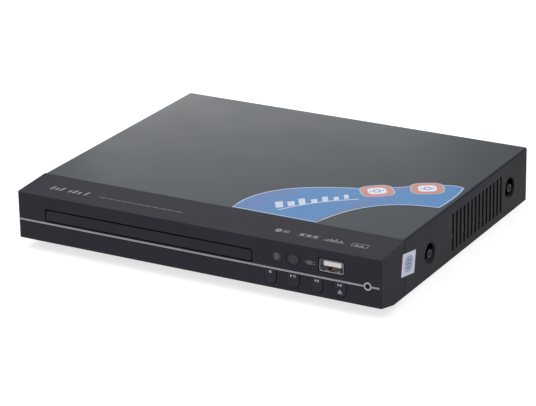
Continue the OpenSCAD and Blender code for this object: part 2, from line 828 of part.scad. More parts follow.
module all_board_corners() {
    board_corners(board_x, main_board_y, main_board_d) children();
    board_corners(board_x, power_board_y, power_board_d) children();
}

module main_board() color("#2b7a46") board_at(board_x, main_board_y, main_board_d);
module power_board() color("#a9824c") board_at(board_x, power_board_y, power_board_d);

module av_board() color("#2b7a46") {
    box([jack_x - jack_block_w / 2 - 6, y_panel_in - jack_block_d - 8, z_av_board],
        [jack_x + jack_block_w / 2 + 6, y_panel_in - seat_gap, z_av_board + board_t]);
}

module standoffs() color("#b9bbbd") {
    all_board_corners() translate([0, 0, z_floor]) tube(standoff_d, screw_hole_d, board_rise);
    loader_lugs() translate([0, 0, z_floor]) tube(7, screw_hole_d, z_base - z_floor);
    for (sx = [-1, 1]) translate([jack_x + sx * (jack_block_w / 2 + 2.6), y_panel_in - jack_block_d - 4,
        z_floor]) {
        tube(standoff_d, screw_hole_d, z_av_board - z_floor);
    }
}

// Screws of the boards, the loader, the bridge and the feet
module fixing_screws() color("#c9cbcd") {
    all_board_corners() translate([0, 0, z_board_top]) screw(board_t + 3);
    for (x = [front_board_x + 3, front_board_x + front_board_w - 3]) {
        translate([x, front_board_y + board_t, front_board_z + front_board_h - 4]) rotate([-90, 0, 0])
            screw(board_t + 5);
    }
    loader_lugs() translate([0, 0, z_base_top]) screw(loader_base_t + 1.4);
    for (sx = [-1, 1]) {
        translate([disc_x + sx * boss_x, disc_y, z_bridge_top]) screw(6);
        for (y = foot_y) translate([sx * foot_x, y, foot_h - 1.4]) mirror([0, 0, 1]) screw(foot_h - 0.5);
    }
}

module decoder_chip() color("#1f1f22") {
    translate([board_x + 30, main_board_y + 34, z_board_top]) rounded_plate(20, 20, 1.6, 0.4);
    box([board_x + 46, main_board_y + 20, z_board_top],
        [board_x + 54, main_board_y + 32, z_board_top + 1.2]);
    box([board_x + 8, main_board_y + 18, z_board_top],
        [board_x + 14, main_board_y + 28, z_board_top + 1.2]);
}

module heat_sink() color("#b4b6b8") translate([board_x + 30, main_board_y + 34, z_board_top + 1.6]) {
    translate([-9, -9, 0]) cube([18, 18, 1.6]);
    for (i = [0 : 6]) translate([-9 + i * 2.8, -9, 1.5]) cube([1.2, 18, 6]);
}

module board_capacitors() color("#31435e") {
    rear = main_board_d;
    for (p = [[12, rear - 12, 8, 11], [24, rear - 10, 6.3, 9], [40, rear - 8, 6.3, 9], [50, 44, 6.3, 9],
        [12, 42, 5, 8]]) {
        translate([board_x + p[0], main_board_y + p[1], z_board_top]) cylinder(d = p[2], h = p[3]);
    }
    for (p = [[48, 42, 8, 12], [48, 30, 8, 12], [33, 42, 10, 14], [18, 44, 14, 18]]) {
        translate([board_x + p[0], power_board_y + p[1], z_board_top]) cylinder(d = p[2], h = p[3]);
    }
}

module board_connectors() color("#e8e4d6") {
    box([board_x + 0.5, main_board_y + 8, z_board_top],
        [board_x + 5.5, main_board_y + 18, z_board_top + 5]);
    box([board_x + 14, main_board_y + 0.5, z_board_top],
        [board_x + 40, main_board_y + 5.5, z_board_top + 5]);
    box([board_x + 20, main_board_y + main_board_d - 6, z_board_top],
        [board_x + 34, main_board_y + main_board_d - 1, z_board_top + 6]);
    box([board_x + 20, power_board_y + 1, z_board_top], [board_x + 34, power_board_y + 6, z_board_top + 6]);
}

module transformer() color("#d9b23c") translate([board_x + 18, power_board_y + 24, z_board_top]) {
    translate([-11, -10, 0]) cube([22, 20, 3]);
    translate([-8, -8, 3 - eps]) cube([16, 16, 12]);
    translate([-11, -10, 15]) cube([22, 20, 3]);
}

module mains_fuse() color("#d7d9da") translate([board_x + 44, power_board_y + 12, z_board_top]) {
    for (y = [-8.5, 6.5]) translate([-3, y, 0]) cube([6, 2, 6.5]);
    translate([0, 0, 3.6]) rod_y(5, -11, 11);
}

// ---- rear sockets ----

module jack_block() color("#1d1d20") difference() {
    box([jack_x - jack_block_w / 2, y_panel_in - seat_gap - jack_block_d, z_av_board + board_t],
        [jack_x + jack_block_w / 2, y_panel_in - seat_gap, z_jack + jack_row_pitch + 6.3]);
    jack_places() rod_y(jack_stem_d + 2 * hole_gap, y_panel_in - 6, y_panel_in + 1);
}

module jack_sleeves() color("#d0b25a") jack_places() difference() {
    union() {
        rod_y(jack_stem_d, y_panel_in - 5.9, y_panel + 1);
        rod_y(jack_d, y_panel + hole_gap, y_back + jack_reach);
    }
    rod_y(jack_bore, y_panel_in - 3, y_back + jack_reach + 1);
}

module mains_inlet() color("#1a1a1c") {
    difference() {
        union() {
            along_y(y_panel - inlet_depth - 3, y_panel + 1.2) translate([inlet_x, z_inlet])
                inlet_outline(inlet_flange);
            along_y(y_panel + 0.05, y_panel + 1.6) translate([inlet_x, z_inlet])
                inlet_outline(inlet_flange + 1.4);
        }
        along_y(y_panel - inlet_depth, y_panel + 3) translate([inlet_x, z_inlet]) inlet_outline(0);
    }
}

module inlet_pins() color("#c9b037") for (sx = [-1, 1]) {
    translate([inlet_x + sx * inlet_pin_pitch / 2, 0, z_inlet])
        rod_y(inlet_pin_d, y_panel - inlet_depth, y_panel - 2);
}

// ---- cables inside ----

// Flat cables: one arches from the loader's wall to the main board, one runs from the front board
module ribbon_cables() color("#d8d8d4") {
    loader_ribbon();
    front_ribbon();
}

module loader_ribbon() {
    x0 = disc_x + wall_out + 0.1;
    x1 = board_x + 3;
    r = (x1 - x0) / 2;
    y = main_board_y + 9;
    translate([x0 + r, y, z_board_top + 5]) rotate([-90, 0, 0]) mirror([0, 1, 0]) {
        rotate_extrude(angle = 180) translate([r - 0.3, 0]) square([0.3, 8]);
    }
}

module front_ribbon() {
    x = board_x + 16;
    z = z_board_top + 5;
    box([x, front_board_y + board_t, z], [x + 20, main_board_y + 4, z + 0.3]);
}

// Wires between the boards and from the mains inlet to the power board
module wire_harness() color("#a33b2e") {
    for (i = [0 : 3]) translate([board_x + 23 + i * 2.6, 0, z_board_top + 4]) {
        rod_y(1.4, main_board_y + main_board_d - 1, power_board_y + 1);
    }
    mains_wires();
}

module mains_wires() for (sx = [-1, 1]) {
    x = inlet_x + sx * inlet_pin_pitch / 2;
    y1 = y_panel - inlet_depth - 3;
    y0 = power_board_y + power_board_d - 6;
    translate([x, 0, z_inlet]) rod_y(2, y0, y1);
    translate([x, y0, z_board_top]) cylinder(d = 2, h = z_inlet - z_board_top);
    translate([x, y0, z_inlet]) sphere(d = 2);
}

// ---- loader ----

module loader_wall_section(sx, y0, y1, low, high) {
    a = sx * wall_in;
    b = sx * wall_out;
    box([min(a, b), y0, low], [max(a, b), y1, high]);
}

module loader_lugs() for (sx = [-1, 1], y = lug_y) translate([disc_x + sx * lug_x, y, 0]) children();

module loader_frame() color("#3c3f43") translate([disc_x, 0, 0]) difference() {
    union() {
        // Base with the well for the disc drive
        difference() {
            box([-wall_out, loader_y0, z_base], [wall_out, loader_y1, z_base_top]);
            box([-well_half, well_y0, z_base - 1], [well_half, loader_y1 - 6, z_base_top + 1]);
        }
        for (sx = [-1, 1]) {
            // Side wall, its longer rail ahead of the base, and the ledge under the tray
            loader_wall_section(sx, loader_y0, loader_y1, z_base, z_hook + hook_t);
            loader_wall_section(sx, rail_y0, loader_y0 + eps, z_ledge - ledge_t, z_hook + hook_t);
            loader_wall_section(sx, disc_y - bridge_d / 2 - 2, disc_y + bridge_d / 2 + 2, z_base, z_bridge);
            box([min(sx * (wall_in - ledge_w), sx * (wall_in + 0.1)), rail_y0, z_ledge - ledge_t],
                [max(sx * (wall_in - ledge_w), sx * (wall_in + 0.1)), loader_y1, z_ledge]);
            // Hooks over the tray's edges
            for (y = [rail_y0 + 4, disc_y - 30, disc_y + 30, disc_y + 66]) {
                box([min(sx * (wall_in - 2.2), sx * (wall_in + 0.1)), y, z_hook],
                    [max(sx * (wall_in - 2.2), sx * (wall_in + 0.1)), y + 9, z_hook + hook_t]);
            }
            // Ears for the drive's hinge
            difference() {
                box([sx > 0 ? ear_x : -ear_x - ear_t, hinge_y - 5, z_base],
                    [sx > 0 ? ear_x + ear_t : -ear_x, hinge_y + 4, z_hinge + 4]);
                translate([0, hinge_y, z_hinge])
                    rod_x(hinge_pin_d + 2 * running_gap, -ear_x - 5, ear_x + 5);
            }
            // Bridge bosses
            translate([sx * boss_x, disc_y, z_base]) cylinder(d = 7, h = z_bridge - z_base);
        }
        box([-wall_out, loader_y1 - loader_wall, z_base], [wall_out, loader_y1, z_ledge + 2]);
        // Axles of the gears, each with a shoulder
        translate([gear_x, gear_y, z_base_top - eps])
            cylinder(d = axle_d + 3, h = z_wheel - 0.2 - z_base_top);
        translate([gear_x, gear_y, z_base_top - eps])
            cylinder(d = axle_d, h = z_rack_gear + rack_gear_h - z_base_top);
        translate([pulley_x, gear_y, z_base_top - eps])
            cylinder(d = axle_d + 3, h = z_wheel - 0.2 - z_base_top);
        translate([pulley_x, gear_y, z_base_top - eps])
            cylinder(d = axle_d, h = z_pulley + pulley_h - z_base_top);
        // Hooks that guide the cam slider
        for (x = [cam_pin_x + 1, cam_pin_x + 8]) {
            box([x, cam_flange_y - 2.2, z_base], [x + 4, cam_flange_y - 0.3, z_base_top + 3.7]);
            box([x, cam_flange_y - 2.2, z_base_top + 2.3], [x + 4, cam_y0 - 0.5, z_base_top + 3.7]);
        }
        // Seat round the loading motor
        translate([motor_x, motor_y, z_base]) cylinder(d = loading_motor_d + 3, h = loader_base_t + 2);
    }
    translate([motor_x, motor_y, z_base_top]) cylinder(d = loading_motor_d + 2 * hole_gap, h = 20);
    for (sx = [-1, 1]) {
        translate([sx * boss_x, disc_y, z_bridge - 8]) cylinder(d = screw_hole_d, h = 10);
        for (y = lug_y) translate([sx * lug_x, y, z_base - 1]) cylinder(d = screw_hole_d, h = 6);
    }
    // The seat is cut back where the slider's flange passes and where the bezel's foot rises
    box([motor_x - 20, cam_flange_y - 0.5, z_base_top], [motor_x + 20, cam_y0 + 6, z_base_top + 8]);
    box([-wall_out - 1, loader_y0 - 20, z_base - 1], [wall_out + 1, loader_y0, z_base_top + 4]);
}

module clamp_bridge() color("#b9bcbf") difference() {
    translate([disc_x, disc_y, z_bridge]) rounded_plate(2 * (wall_out + 5), bridge_d, bridge_t, 4);
    translate([disc_x, disc_y, z_bridge - 1]) cylinder(d = bridge_hole_d, h = 4);
    for (sx = [-1, 1]) {
        translate([disc_x + sx * boss_x, disc_y, z_bridge - 1]) cylinder(d = screw_hole_d, h = 4);
        for (sy = [-1, 1]) translate([disc_x + sx * 38, disc_y + sy * 7, z_bridge - 1])
            cylinder(d = 8, h = 4);
    }
}

module clamp_puck() color("#2c2c30") translate([disc_x, disc_y, 0]) {
    z0 = z_tray_top + 0.6;
    difference() {
        union() {
            translate([0, 0, z0]) cylinder(d = puck_d, h = z_bridge - 0.4 - z0);
            translate([0, 0, z0]) cylinder(d = puck_neck_d, h = z_bridge_top + 1 - z0);
            translate([0, 0, z_bridge_top + 0.4]) cylinder(d = puck_d, h = 1.5);
        }
        translate([0, 0, z0 - 1]) cylinder(d = cone_d + 2.2, h = 2.2);
        translate([0, 0, z_bridge_top + 1.1]) cylinder(d = puck_neck_d - 4, h = 2);
    }
}

module clamp_magnet() color("#8a8c8f") {
    translate([disc_x, disc_y, z_bridge_top + 1.1]) tube(puck_neck_d - 4.2, 6, 1.2);
}

// ---- tray ----

module tray_door() color("#34323a") translate([disc_x, 0, z_door]) difference() {
    along_y(y_face, y_face + door_t) rounded_rect(door_w, door_h, 0.8);
    for (sx = [-1, 1]) {
        box([sx * 45 - 12, y_face + 1.6, -door_h / 2 + 1.2],
            [sx * 45 + 12, y_face + door_t + 1, door_h / 2 - 1.2]);
    }
}

module tray_rack() {
    root = rack_x - dedendum * gear_m;
    tip = rack_x + addendum * gear_m;
    flat = PI * gear_m / 4 - backlash / 4;
    box([root - 2.2, rack_y0, z_rack],
        [root + eps, rack_y0 + rack_teeth * PI * gear_m, z_tray_top - tray_wall]);
    translate([0, 0, z_rack]) linear_extrude(z_under_floor + 0.2 - z_rack) {
        for (i = [0 : rack_teeth - 2]) {
            y = gear_y + (i - floor((gear_y - rack_y0) / PI / gear_m) + 0.5) * PI * gear_m;
            polygon([
                [root, y - flat - dedendum * gear_m * tan(pressure)],
                    [tip, y - flat + addendum * gear_m * tan(pressure)],
                [tip, y + flat - addendum * gear_m * tan(pressure)],
                    [root, y + flat + dedendum * gear_m * tan(pressure)]
            ]);
        }
    }
}

module disc_tray() color("#2d2c31") translate([disc_x, 0, 0]) {
    y1 = y_tray + tray_l;
    difference() {
        translate([0, (y_tray + y1) / 2, z_tray]) rounded_plate(tray_w, tray_l, tray_t, 2);
        translate([0, disc_y, z_tray_top - disc_recess_depth])
            cylinder(d = disc_recess_d, h = 10, $fn = 96);
        translate([0, disc_y, z_small_floor]) cylinder(d = small_recess_d, h = 10);
        // Hollow underside between the skirts, around the recess's wall
        box([-tray_w / 2 + skirt_t, y_tray + skirt_t, z_tray - 1],
            [tray_w / 2 - skirt_t, y1 + 1, z_under_floor]);
        difference() {
            box([-tray_w / 2 + skirt_t, y_tray + skirt_t, z_tray],
                [tray_w / 2 - skirt_t, y1 - skirt_t, z_tray_top - tray_wall]);
            translate([0, disc_y, z_tray - 1])
                cylinder(d = disc_recess_d + 2 * tray_wall, h = 20, $fn = 96);
        }
        // Way for the turntable and the pickup
        translate([0, disc_y, z_tray - 1]) cylinder(d = tray_slot_w, h = 20);
        box([-tray_slot_w / 2, disc_y, z_tray - 1], [tray_slot_w / 2, y1 + 1, z_tray_top + 1]);
        // Finger notches at the recess's edge
        for (sx = [-1, 1], sy = [-1, 1]) {
            translate([sx * 44, disc_y + sy * 44, z_tray_top - disc_recess_depth]) cylinder(d = 16, h = 10);
        }
    }
    tray_rack();
}

// ---- gear train ----

module drive_gear() color("#e9e6dc") translate([disc_x + gear_x, gear_y, 0]) difference() {
    union() {
        translate([0, 0, z_wheel]) gear(wheel_teeth, wheel_h);
        translate([0, 0, z_wheel]) cylinder(r = hub_r, h = z_rack_gear + rack_gear_h - z_wheel);
        translate([0, 0, z_rack_gear]) gear(rack_gear_teeth, rack_gear_h);
    }
    translate([0, 0, z_wheel - 1]) cylinder(d = axle_d + 2 * running_gap, h = 30);
}

module pulley_gear() color("#efece2") translate([disc_x + pulley_x, gear_y, 0]) difference() {
    union() {
        translate([0, 0, z_wheel]) rotate(180 / pinion_teeth) gear(pinion_teeth, wheel_h);
        translate([0, 0, z_wheel]) cylinder(r = pinion_r - 1.5, h = z_pulley + 0.5 - z_wheel);
        translate([0, 0, z_pulley]) cylinder(r = pulley_r, h = pulley_h);
        for (z = [z_pulley, z_pulley + pulley_h - 0.25]) translate([0, 0, z])
            cylinder(r = pulley_r + 0.9, h = 0.25);
    }
    translate([0, 0, z_wheel - 1]) cylinder(d = axle_d + 2 * running_gap, h = 30);
}

module motor_pulley() color("#f0eee6") translate([disc_x + motor_x, motor_y, 0]) {
    translate([0, 0, z_pulley]) cylinder(r = motor_pulley_r, h = pulley_h);
    for (z = [z_pulley, z_pulley + pulley_h - 0.25]) translate([0, 0, z])
        cylinder(r = motor_pulley_r + 0.9, h = 0.25);
    translate([0, 0, z_base_top + loading_motor_h - 5]) {
        cylinder(d = motor_shaft_d, h = z_pulley + 0.5 - z_base_top - loading_motor_h + 5);
    }
}

module belt_outline(grow) hull() {
    translate([pulley_x, gear_y]) circle(pulley_r + grow);
    translate([motor_x, motor_y]) circle(motor_pulley_r + grow);
}

module drive_belt() color("#19191b") translate([disc_x, 0, z_belt]) linear_extrude(belt_h) difference() {
    belt_outline(belt_gap + belt_t);
    belt_outline(belt_gap);
}

module loading_motor() color("#c2c4c7") translate([disc_x + motor_x, motor_y, z_base_top]) difference() {
    union() {
        cylinder(d = loading_motor_d, h = loading_motor_h - 0.8);
        translate([0, 0, loading_motor_h - 1]) cylinder(d = 7, h = 1);
    }
    translate([0, 0, loading_motor_h - 5.2]) cylinder(d = motor_shaft_d + 2 * running_gap, h = 8);
}

module cam_slider() color("#d9d5c8") translate([disc_x, 0, 0]) difference() {
    union() {
        box([cam_pin_x - cam_end, cam_y0, z_pan + 1.6],
            [cam_pin_x + cam_travel + cam_end, cam_y1, z_cam_top]);
        box([cam_pin_x - cam_end, cam_flange_y, z_base_top + 0.3],
            [cam_pin_x + 37.5, cam_y0 + 0.5, z_base_top + 1.9]);
    }
    along_y(cam_y0 - 1, cam_y1 + 1)
        slot_2d([cam_pin_x, z_cam_pin], [cam_pin_x + cam_travel, z_cam_pin - cam_drop],
            cam_pin_d + 2 * cam_gap);
}

// ---- disc drive ----

module lift_frame() color("#3a3c40") translate([disc_x, 0, 0]) {
    difference() {
        box([-lift_half, lift_y0, z_lift], [lift_half, lift_y1, z_lift_top]);
        box([-lift_in, lift_y0 + 5, z_lift - 1], [lift_in, lift_y1 - 3, z_lift_top + 1]);
    }
    both_sides() {
        // Arm, shoulder and pin of the hinge
        box([arm_x, lift_y1 - 4, z_hinge - 1], [lift_half, hinge_y, z_lift_top]);
        translate([0, hinge_y, z_hinge]) {
            rod_x(hinge_pin_d + 2, arm_x, ear_x - 0.3);
            rod_x(hinge_pin_d, arm_x, ear_x + ear_t - 0.3);
        }
        // Posts of the damper bushes
        for (y = bush_y) translate([bush_x, y, z_lift_top - 1])
            cylinder(d = bush_post_d, h = z_bush_top - z_lift_top + 1.4);
    }
    // Upstand and pin that ride in the cam slider
    box([cam_pin_x - 4, lift_y0, z_lift], [cam_pin_x + 4, lift_y0 + 2.6, z_cam_pin + 1.6]);
    translate([cam_pin_x, 0, z_cam_pin]) rod_y(cam_pin_d, cam_y0 + 0.2, lift_y0 + 1);
}

module traverse_deck() color("#a9acaf") translate([disc_x, 0, 0]) difference() {
    union() {
        translate([0, (deck_y0 + deck_y1) / 2, z_deck]) rounded_plate(deck_w, deck_y1 - deck_y0, deck_t, 3);
        // Lugs for the guide rods and the lead screw
        for (sx = [-1, 1], y = [rod_y0 - 0.5, rod_y1 - 3]) {
            box([sx * rod_pitch / 2 - 3, y, z_rod - 3], [sx * rod_pitch / 2 + 3, y + 3.5, z_deck + eps]);
        }
        box([screw_x - 3, screw_y0 - 1, z_screw - 2.2], [screw_x + 3, screw_y0 + 1.5, z_deck + eps]);
    }
    translate([0, disc_y, z_deck - 1]) cylinder(d = 9, h = 4);
    box([-rod_pitch / 2 - 2.4, rod_y0 + 3.2, z_deck - eps],
        [rod_pitch / 2 + 2.4, rod_y1 - 3.2, z_deck_top + 1]);
    for (sx = [-1, 1], y = bush_y) translate([sx * bush_x, y, z_deck - 1])
        cylinder(d = bush_neck_d + 2 * hole_gap, h = 4);
    for (sx = [-1, 1]) translate([sx * rod_pitch / 2, 0, z_rod]) rod_y(rod_d + 0.02, rod_y0, rod_y1);
    translate([screw_x, 0, z_screw]) rod_y(lead_screw_d - 1 + 2 * running_gap, screw_y0 - 2, screw_y0 + 3);
}

module damper_bushes() color("#1c1c1e") for (sx = [-1, 1], y = bush_y) {
    translate([disc_x + sx * bush_x, y, z_lift_top]) difference() {
        union() {
            cylinder(d = bush_d, h = z_deck - z_lift_top);
            cylinder(d = bush_neck_d, h = z_bush_top - z_lift_top);
            translate([0, 0, z_deck_top - z_lift_top]) cylinder(d = bush_d, h = z_bush_top - z_deck_top);
        }
        translate([0, 0, -1]) cylinder(d = bush_post_d + 2 * hole_gap, h = 10);
    }
}

module guide_rods() color("#d5d7d9") for (sx = [-1, 1]) {
    translate([disc_x + sx * rod_pitch / 2, 0, z_rod]) rod_y(rod_d, rod_y0, rod_y1);
}

module spindle_motor() color("#b3b6b9") translate([disc_x, disc_y, 0]) difference() {
    union() {
        translate([0, 0, z_deck - 4.2]) cylinder(d = spindle_motor_d, h = 4.2);
        translate([0, 0, z_deck - 1]) cylinder(d = 8.6, h = z_flange - flange_t - 3.4 - z_deck + 1);
    }
    translate([0, 0, z_deck - 3.6]) cylinder(d = spindle_d + 2 * running_gap, h = 12);
}

module turntable() color("#2f3034") translate([disc_x, disc_y, 0]) {
    translate([0, 0, z_flange - flange_t]) cylinder(d = turntable_d, h = flange_t);
    translate([0, 0, z_flange - eps]) cylinder(d1 = cone_d, d2 = cone_d - 4, h = cone_h);
    translate([0, 0, z_flange - flange_t - 3]) cylinder(d = 12, h = 3 + eps);
    translate([0, 0, z_deck - 3.4]) cylinder(d = spindle_d, h = z_flange - z_deck + 3.4);
}

module pickup_body() color("#6f7276") translate([disc_x, lens_y, 0]) difference() {
    rod_half = rod_pitch / 2;
    union() {
        box([-rod_half - 3.4, -pickup_front, z_pickup], [rod_half + 3, pickup_back, z_deck - 0.6]);
        box([-11, -pickup_head, z_deck - 1], [11, pickup_head + 2, z_deck + 4.4]);
        // Arm and half nut on the lead screw
        box([rod_half, -4, z_screw - 1.4], [screw_x, 4, z_screw + 2.6]);
        box([screw_x - 3, -4, z_screw - 2.8], [screw_x + 3, 4, z_screw + 2.8]);
    }
    translate([-rod_half, 0, z_rod]) rod_y(rod_d + 2 * running_gap, -pickup_front - 1, pickup_back + 1);
    box([rod_half - rod_d / 2 - 0.6, -pickup_front - 1, z_rod - rod_d / 2 - running_gap],
        [rod_half + 10, pickup_back + 1, z_rod + rod_d / 2 + running_gap]);
    translate([screw_x, 0, z_screw]) rod_y(lead_screw_d + 0.8, -5, 5);
    translate([0, 0, z_deck + 2.4]) cylinder(d = 9, h = 4);
}

module pickup_lens() color("#7aa7c7") translate([disc_x, lens_y, z_deck + 2.4]) {
    cylinder(d = 8.4, h = 2.2);
    intersection() {
        translate([0, 0, -1.6]) sphere(r = 5.5);
        translate([0, 0, 2]) cylinder(d = 6, h = 3);
    }
}

module lead_screw() color("#cfd1d3") translate([disc_x + screw_x, 0, z_screw]) {
    rod_y(lead_screw_d, screw_y0 + 1.8, screw_y1 - 0.6);
    rod_y(lead_screw_d - 1, screw_y0 - 0.8, screw_y0 + 2);
    rod_y(lead_screw_d - 1, screw_y1 - 1, screw_y1 + 3);
}

module sled_motor() color("#bfc1c4") translate([disc_x + screw_x, 0, z_screw]) difference() {
    union() {
        rod_y(8, screw_y1, screw_y1 + 7);
        box([-4, screw_y1, 0], [4, screw_y1 + 7, z_deck - z_screw]);
    }
    rod_y(lead_screw_d - 1 + 2 * running_gap, screw_y1 - 1, screw_y1 + 3.5);
}

// ---- feet, fasteners and labels ----

module rubber_feet() color("#1b1b1d") for (sx = [-1, 1], y = foot_y) {
    translate([sx * foot_x, y, 0]) difference() {
        union() {
            cylinder(d1 = foot_d - 1, d2 = foot_d, h = 1);
            translate([0, 0, 1 - eps]) cylinder(d = foot_d, h = foot_h - 1);
        }
        translate([0, 0, -1]) cylinder(d = screw_head_d + 1, h = 1 + foot_h - 1.4);
        cylinder(d = screw_hole_d, h = foot_h + 1);
    }
}

module cover_screws() color("#5b5c60") {
    for (s = side_screws, sx = [-1, 1]) {
        translate([sx * (half_w - dimple_depth), s[0], s[1]]) rotate([0, sx * 90, 0]) screw(3.6);
    }
    for (x = tab_x) translate([x, y_back, z_top - tab_h / 2 - 0.4]) rotate([-90, 0, 0]) screw(4);
}

// Point of a cubic curve with four control points
function curve_point(p, t) =
    pow(1 - t, 3) * p[0] + 3 * pow(1 - t, 2) * t * p[1] + 3 * (1 - t) * t * t * p[2] + pow(t, 3) * p[3];
function curve(p, n) = [for (i = [0 : n - 1]) curve_point(p, i / n)];

// Outline of the top label: positions from the seam and the right side
label_curves = [
    [[-104.5, 0.8], [-107, 30], [-90, 46], [-55.6, 57.2]],
    [[-55.6, 57.2], [-38, 64], [-16, 90], [-4.2, 82.8]],
    [[-4.2, 82.8], [-2, 74], [-2.2, 58], [-3.8, 49]],
    [[-3.8, 49], [-34, 46.5], [-46.5, 28], [-52.5, 0.8]]
];

module top_label() color("#5b97d2") {
    translate([half_w, y_seam, z_top]) linear_extrude(label_t) {
        polygon(concat([for (c = label_curves) each curve(c, 14)], [label_curves[3][3]]));
    }
}

top_cover();
bottom_chassis();
rear_panel();
front_bezel();
stripe_trim();
lamp_ring();
power_lamp();
ir_window();
indicator_lens();
socket_shell();
socket_tongue();
stop_button();
play_button();
skip_button();
eject_button();
front_board();
button_switches();
ir_receiver();
main_board();
power_board();
av_board();
standoffs();
fixing_screws();
decoder_chip();
heat_sink();
board_capacitors();
board_connectors();
transformer();
mains_fuse();
jack_block();
jack_sleeves();
mains_inlet();
inlet_pins();
ribbon_cables();
wire_harness();
loader_frame();
clamp_bridge();
clamp_puck();
clamp_magnet();
tray_door();
disc_tray();
drive_gear();
pulley_gear();
motor_pulley();
drive_belt();
loading_motor();
cam_slider();
lift_frame();
traverse_deck();
damper_bushes();
guide_rods();
spindle_motor();
turntable();
pickup_body();
pickup_lens();
lead_screw();
sled_motor();
rubber_feet();
cover_screws();
top_label();
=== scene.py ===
"""Looks of a slim disc player with a sliding tray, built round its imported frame.

Sizes are in millimetres unless a name or comment says otherwise; meshes are turned into metres once, when a piece
is made. The front faces -Y, the right side +X and the top +Z.
"""

import json
import math

import bmesh
import bpy
import numpy as np
from bpy.props import FloatProperty, FloatVectorProperty, PointerProperty
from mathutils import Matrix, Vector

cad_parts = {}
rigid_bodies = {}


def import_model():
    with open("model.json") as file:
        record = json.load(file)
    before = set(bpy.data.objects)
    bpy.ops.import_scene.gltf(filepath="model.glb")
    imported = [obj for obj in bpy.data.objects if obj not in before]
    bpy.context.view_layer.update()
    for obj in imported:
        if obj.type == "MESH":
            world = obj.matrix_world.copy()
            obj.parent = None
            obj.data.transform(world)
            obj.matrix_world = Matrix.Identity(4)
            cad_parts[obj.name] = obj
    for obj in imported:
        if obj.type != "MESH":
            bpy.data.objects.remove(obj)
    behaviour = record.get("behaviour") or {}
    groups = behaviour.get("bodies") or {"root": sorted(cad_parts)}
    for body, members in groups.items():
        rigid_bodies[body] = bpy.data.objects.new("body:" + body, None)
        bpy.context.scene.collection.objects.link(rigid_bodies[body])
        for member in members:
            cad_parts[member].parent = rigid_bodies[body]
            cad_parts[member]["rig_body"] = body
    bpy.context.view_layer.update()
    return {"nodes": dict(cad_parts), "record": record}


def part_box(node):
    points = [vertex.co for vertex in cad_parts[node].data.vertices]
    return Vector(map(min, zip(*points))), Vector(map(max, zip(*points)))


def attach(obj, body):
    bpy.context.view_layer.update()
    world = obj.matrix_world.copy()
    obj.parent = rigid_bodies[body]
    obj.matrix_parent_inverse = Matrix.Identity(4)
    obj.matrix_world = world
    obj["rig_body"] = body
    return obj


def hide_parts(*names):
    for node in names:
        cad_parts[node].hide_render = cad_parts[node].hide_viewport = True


bl_info = {
    "name": "Disc player looks",
    "version": (1, 0, 0),
    "blender": (4, 5, 0),
    "location": "3D View > Sidebar > Disc player",
    "description": "Finishes and fine pieces of a slim disc player with a sliding tray",
    "category": "Object",
}

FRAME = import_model()
NODES = FRAME["nodes"]
SLOT_OF = {part["node"]: part["material_slot"] for part in FRAME["record"]["subparts"]}
RIGHT, BACK, UP = np.eye(3)
LEFT, _, DOWN = -np.eye(3)
SHARP_TURN = 32  # degrees by which the faces turn at an edge that stays sharp
FLAT_TURN = 0.6  # degrees up to which a CAD node's triangles are merged into one flat face
SUNK = -0.05  # height at which printed ink starts, just under the surface that it lies on


def linear(code):
    """An sRGB hex code as a linear colour with alpha: below 0.04045 a straight line, above it a power of 2.4."""
    value = np.array([int(code[i : i + 2], 16) for i in (1, 3, 5)]) / 255
    value = np.where(value <= 0.04045, value / 12.92, ((value + 0.055) / 1.055) ** 2.4)
    return (*value.tolist(), 1.0)


# ---- sizes and colours that a user would change ----


def colour(name, description, code):
    """A colour property that starts at an sRGB hex code."""
    return FloatVectorProperty(
        name=name, description=description, subtype="COLOR", size=4, min=0, max=1, default=linear(code)
    )


def size(name, description, millimetres, most=50.0):
    """A length property, kept in metres, that starts at a number of millimetres."""
    return FloatProperty(
        name=name, description=description, default=millimetres / 1000, min=0, max=most / 1000, unit="LENGTH",
        precision=5,
    )


def share(name, description, value, most=1.0):
    """A plain factor."""
    return FloatProperty(name=name, description=description, default=value, min=0, max=most, subtype="FACTOR")


def power(name, description, watts):
    """A lamp's power."""
    return FloatProperty(name=name, description=description, default=watts, min=0, unit="POWER")


class PlayerStage(bpy.types.PropertyGroup):
    floor_colour: colour("Floor", "Colour of the floor", "#c6c7ca")
    floor_lift: share("Floor lift", "White added to the floor where a camera or a gloss sees it", 0.71)
    sky: share("Room light", "Strength of the light that comes from all round", 0.62, 2.0)
    lamp_power: power("Lamp", "Power of the soft lamp above the front", 9.0)
    back_power: power("Back lamp", "Power of the low lamp behind, which puts a sheen on the top", 0.32)
    lamp_size: size("Lamp size", "Side of the soft lamp", 1500, 4000)
    aim: size("Aim height", "Height that the lamp and the camera look at", 19.5)


class PlayerCabinet(bpy.types.PropertyGroup):
    cover_colour: colour("Cover paint", "Colour of the folded cover", "#18151f")
    # The top's pale colour is painted sheen with a little dust: it makes upward faces paler in place of the room's
    # reflection.
    dust_and_sheen_colour: colour("Top haze", "Colour of the fine haze on the upward face", "#3a4047")
    bezel_colour: colour("Bezel", "Colour of the moulded bezel, door and buttons", "#37363d")
    edge: size("Sheet edge", "Rounding along the sheet's edges", 0.2, 2)
    bezel_edge: size("Bezel edge", "Rounding along the bezel's edges", 0.35, 2)
    button_edge: size("Button edge", "Rounding along the buttons' edges", 0.22, 2)


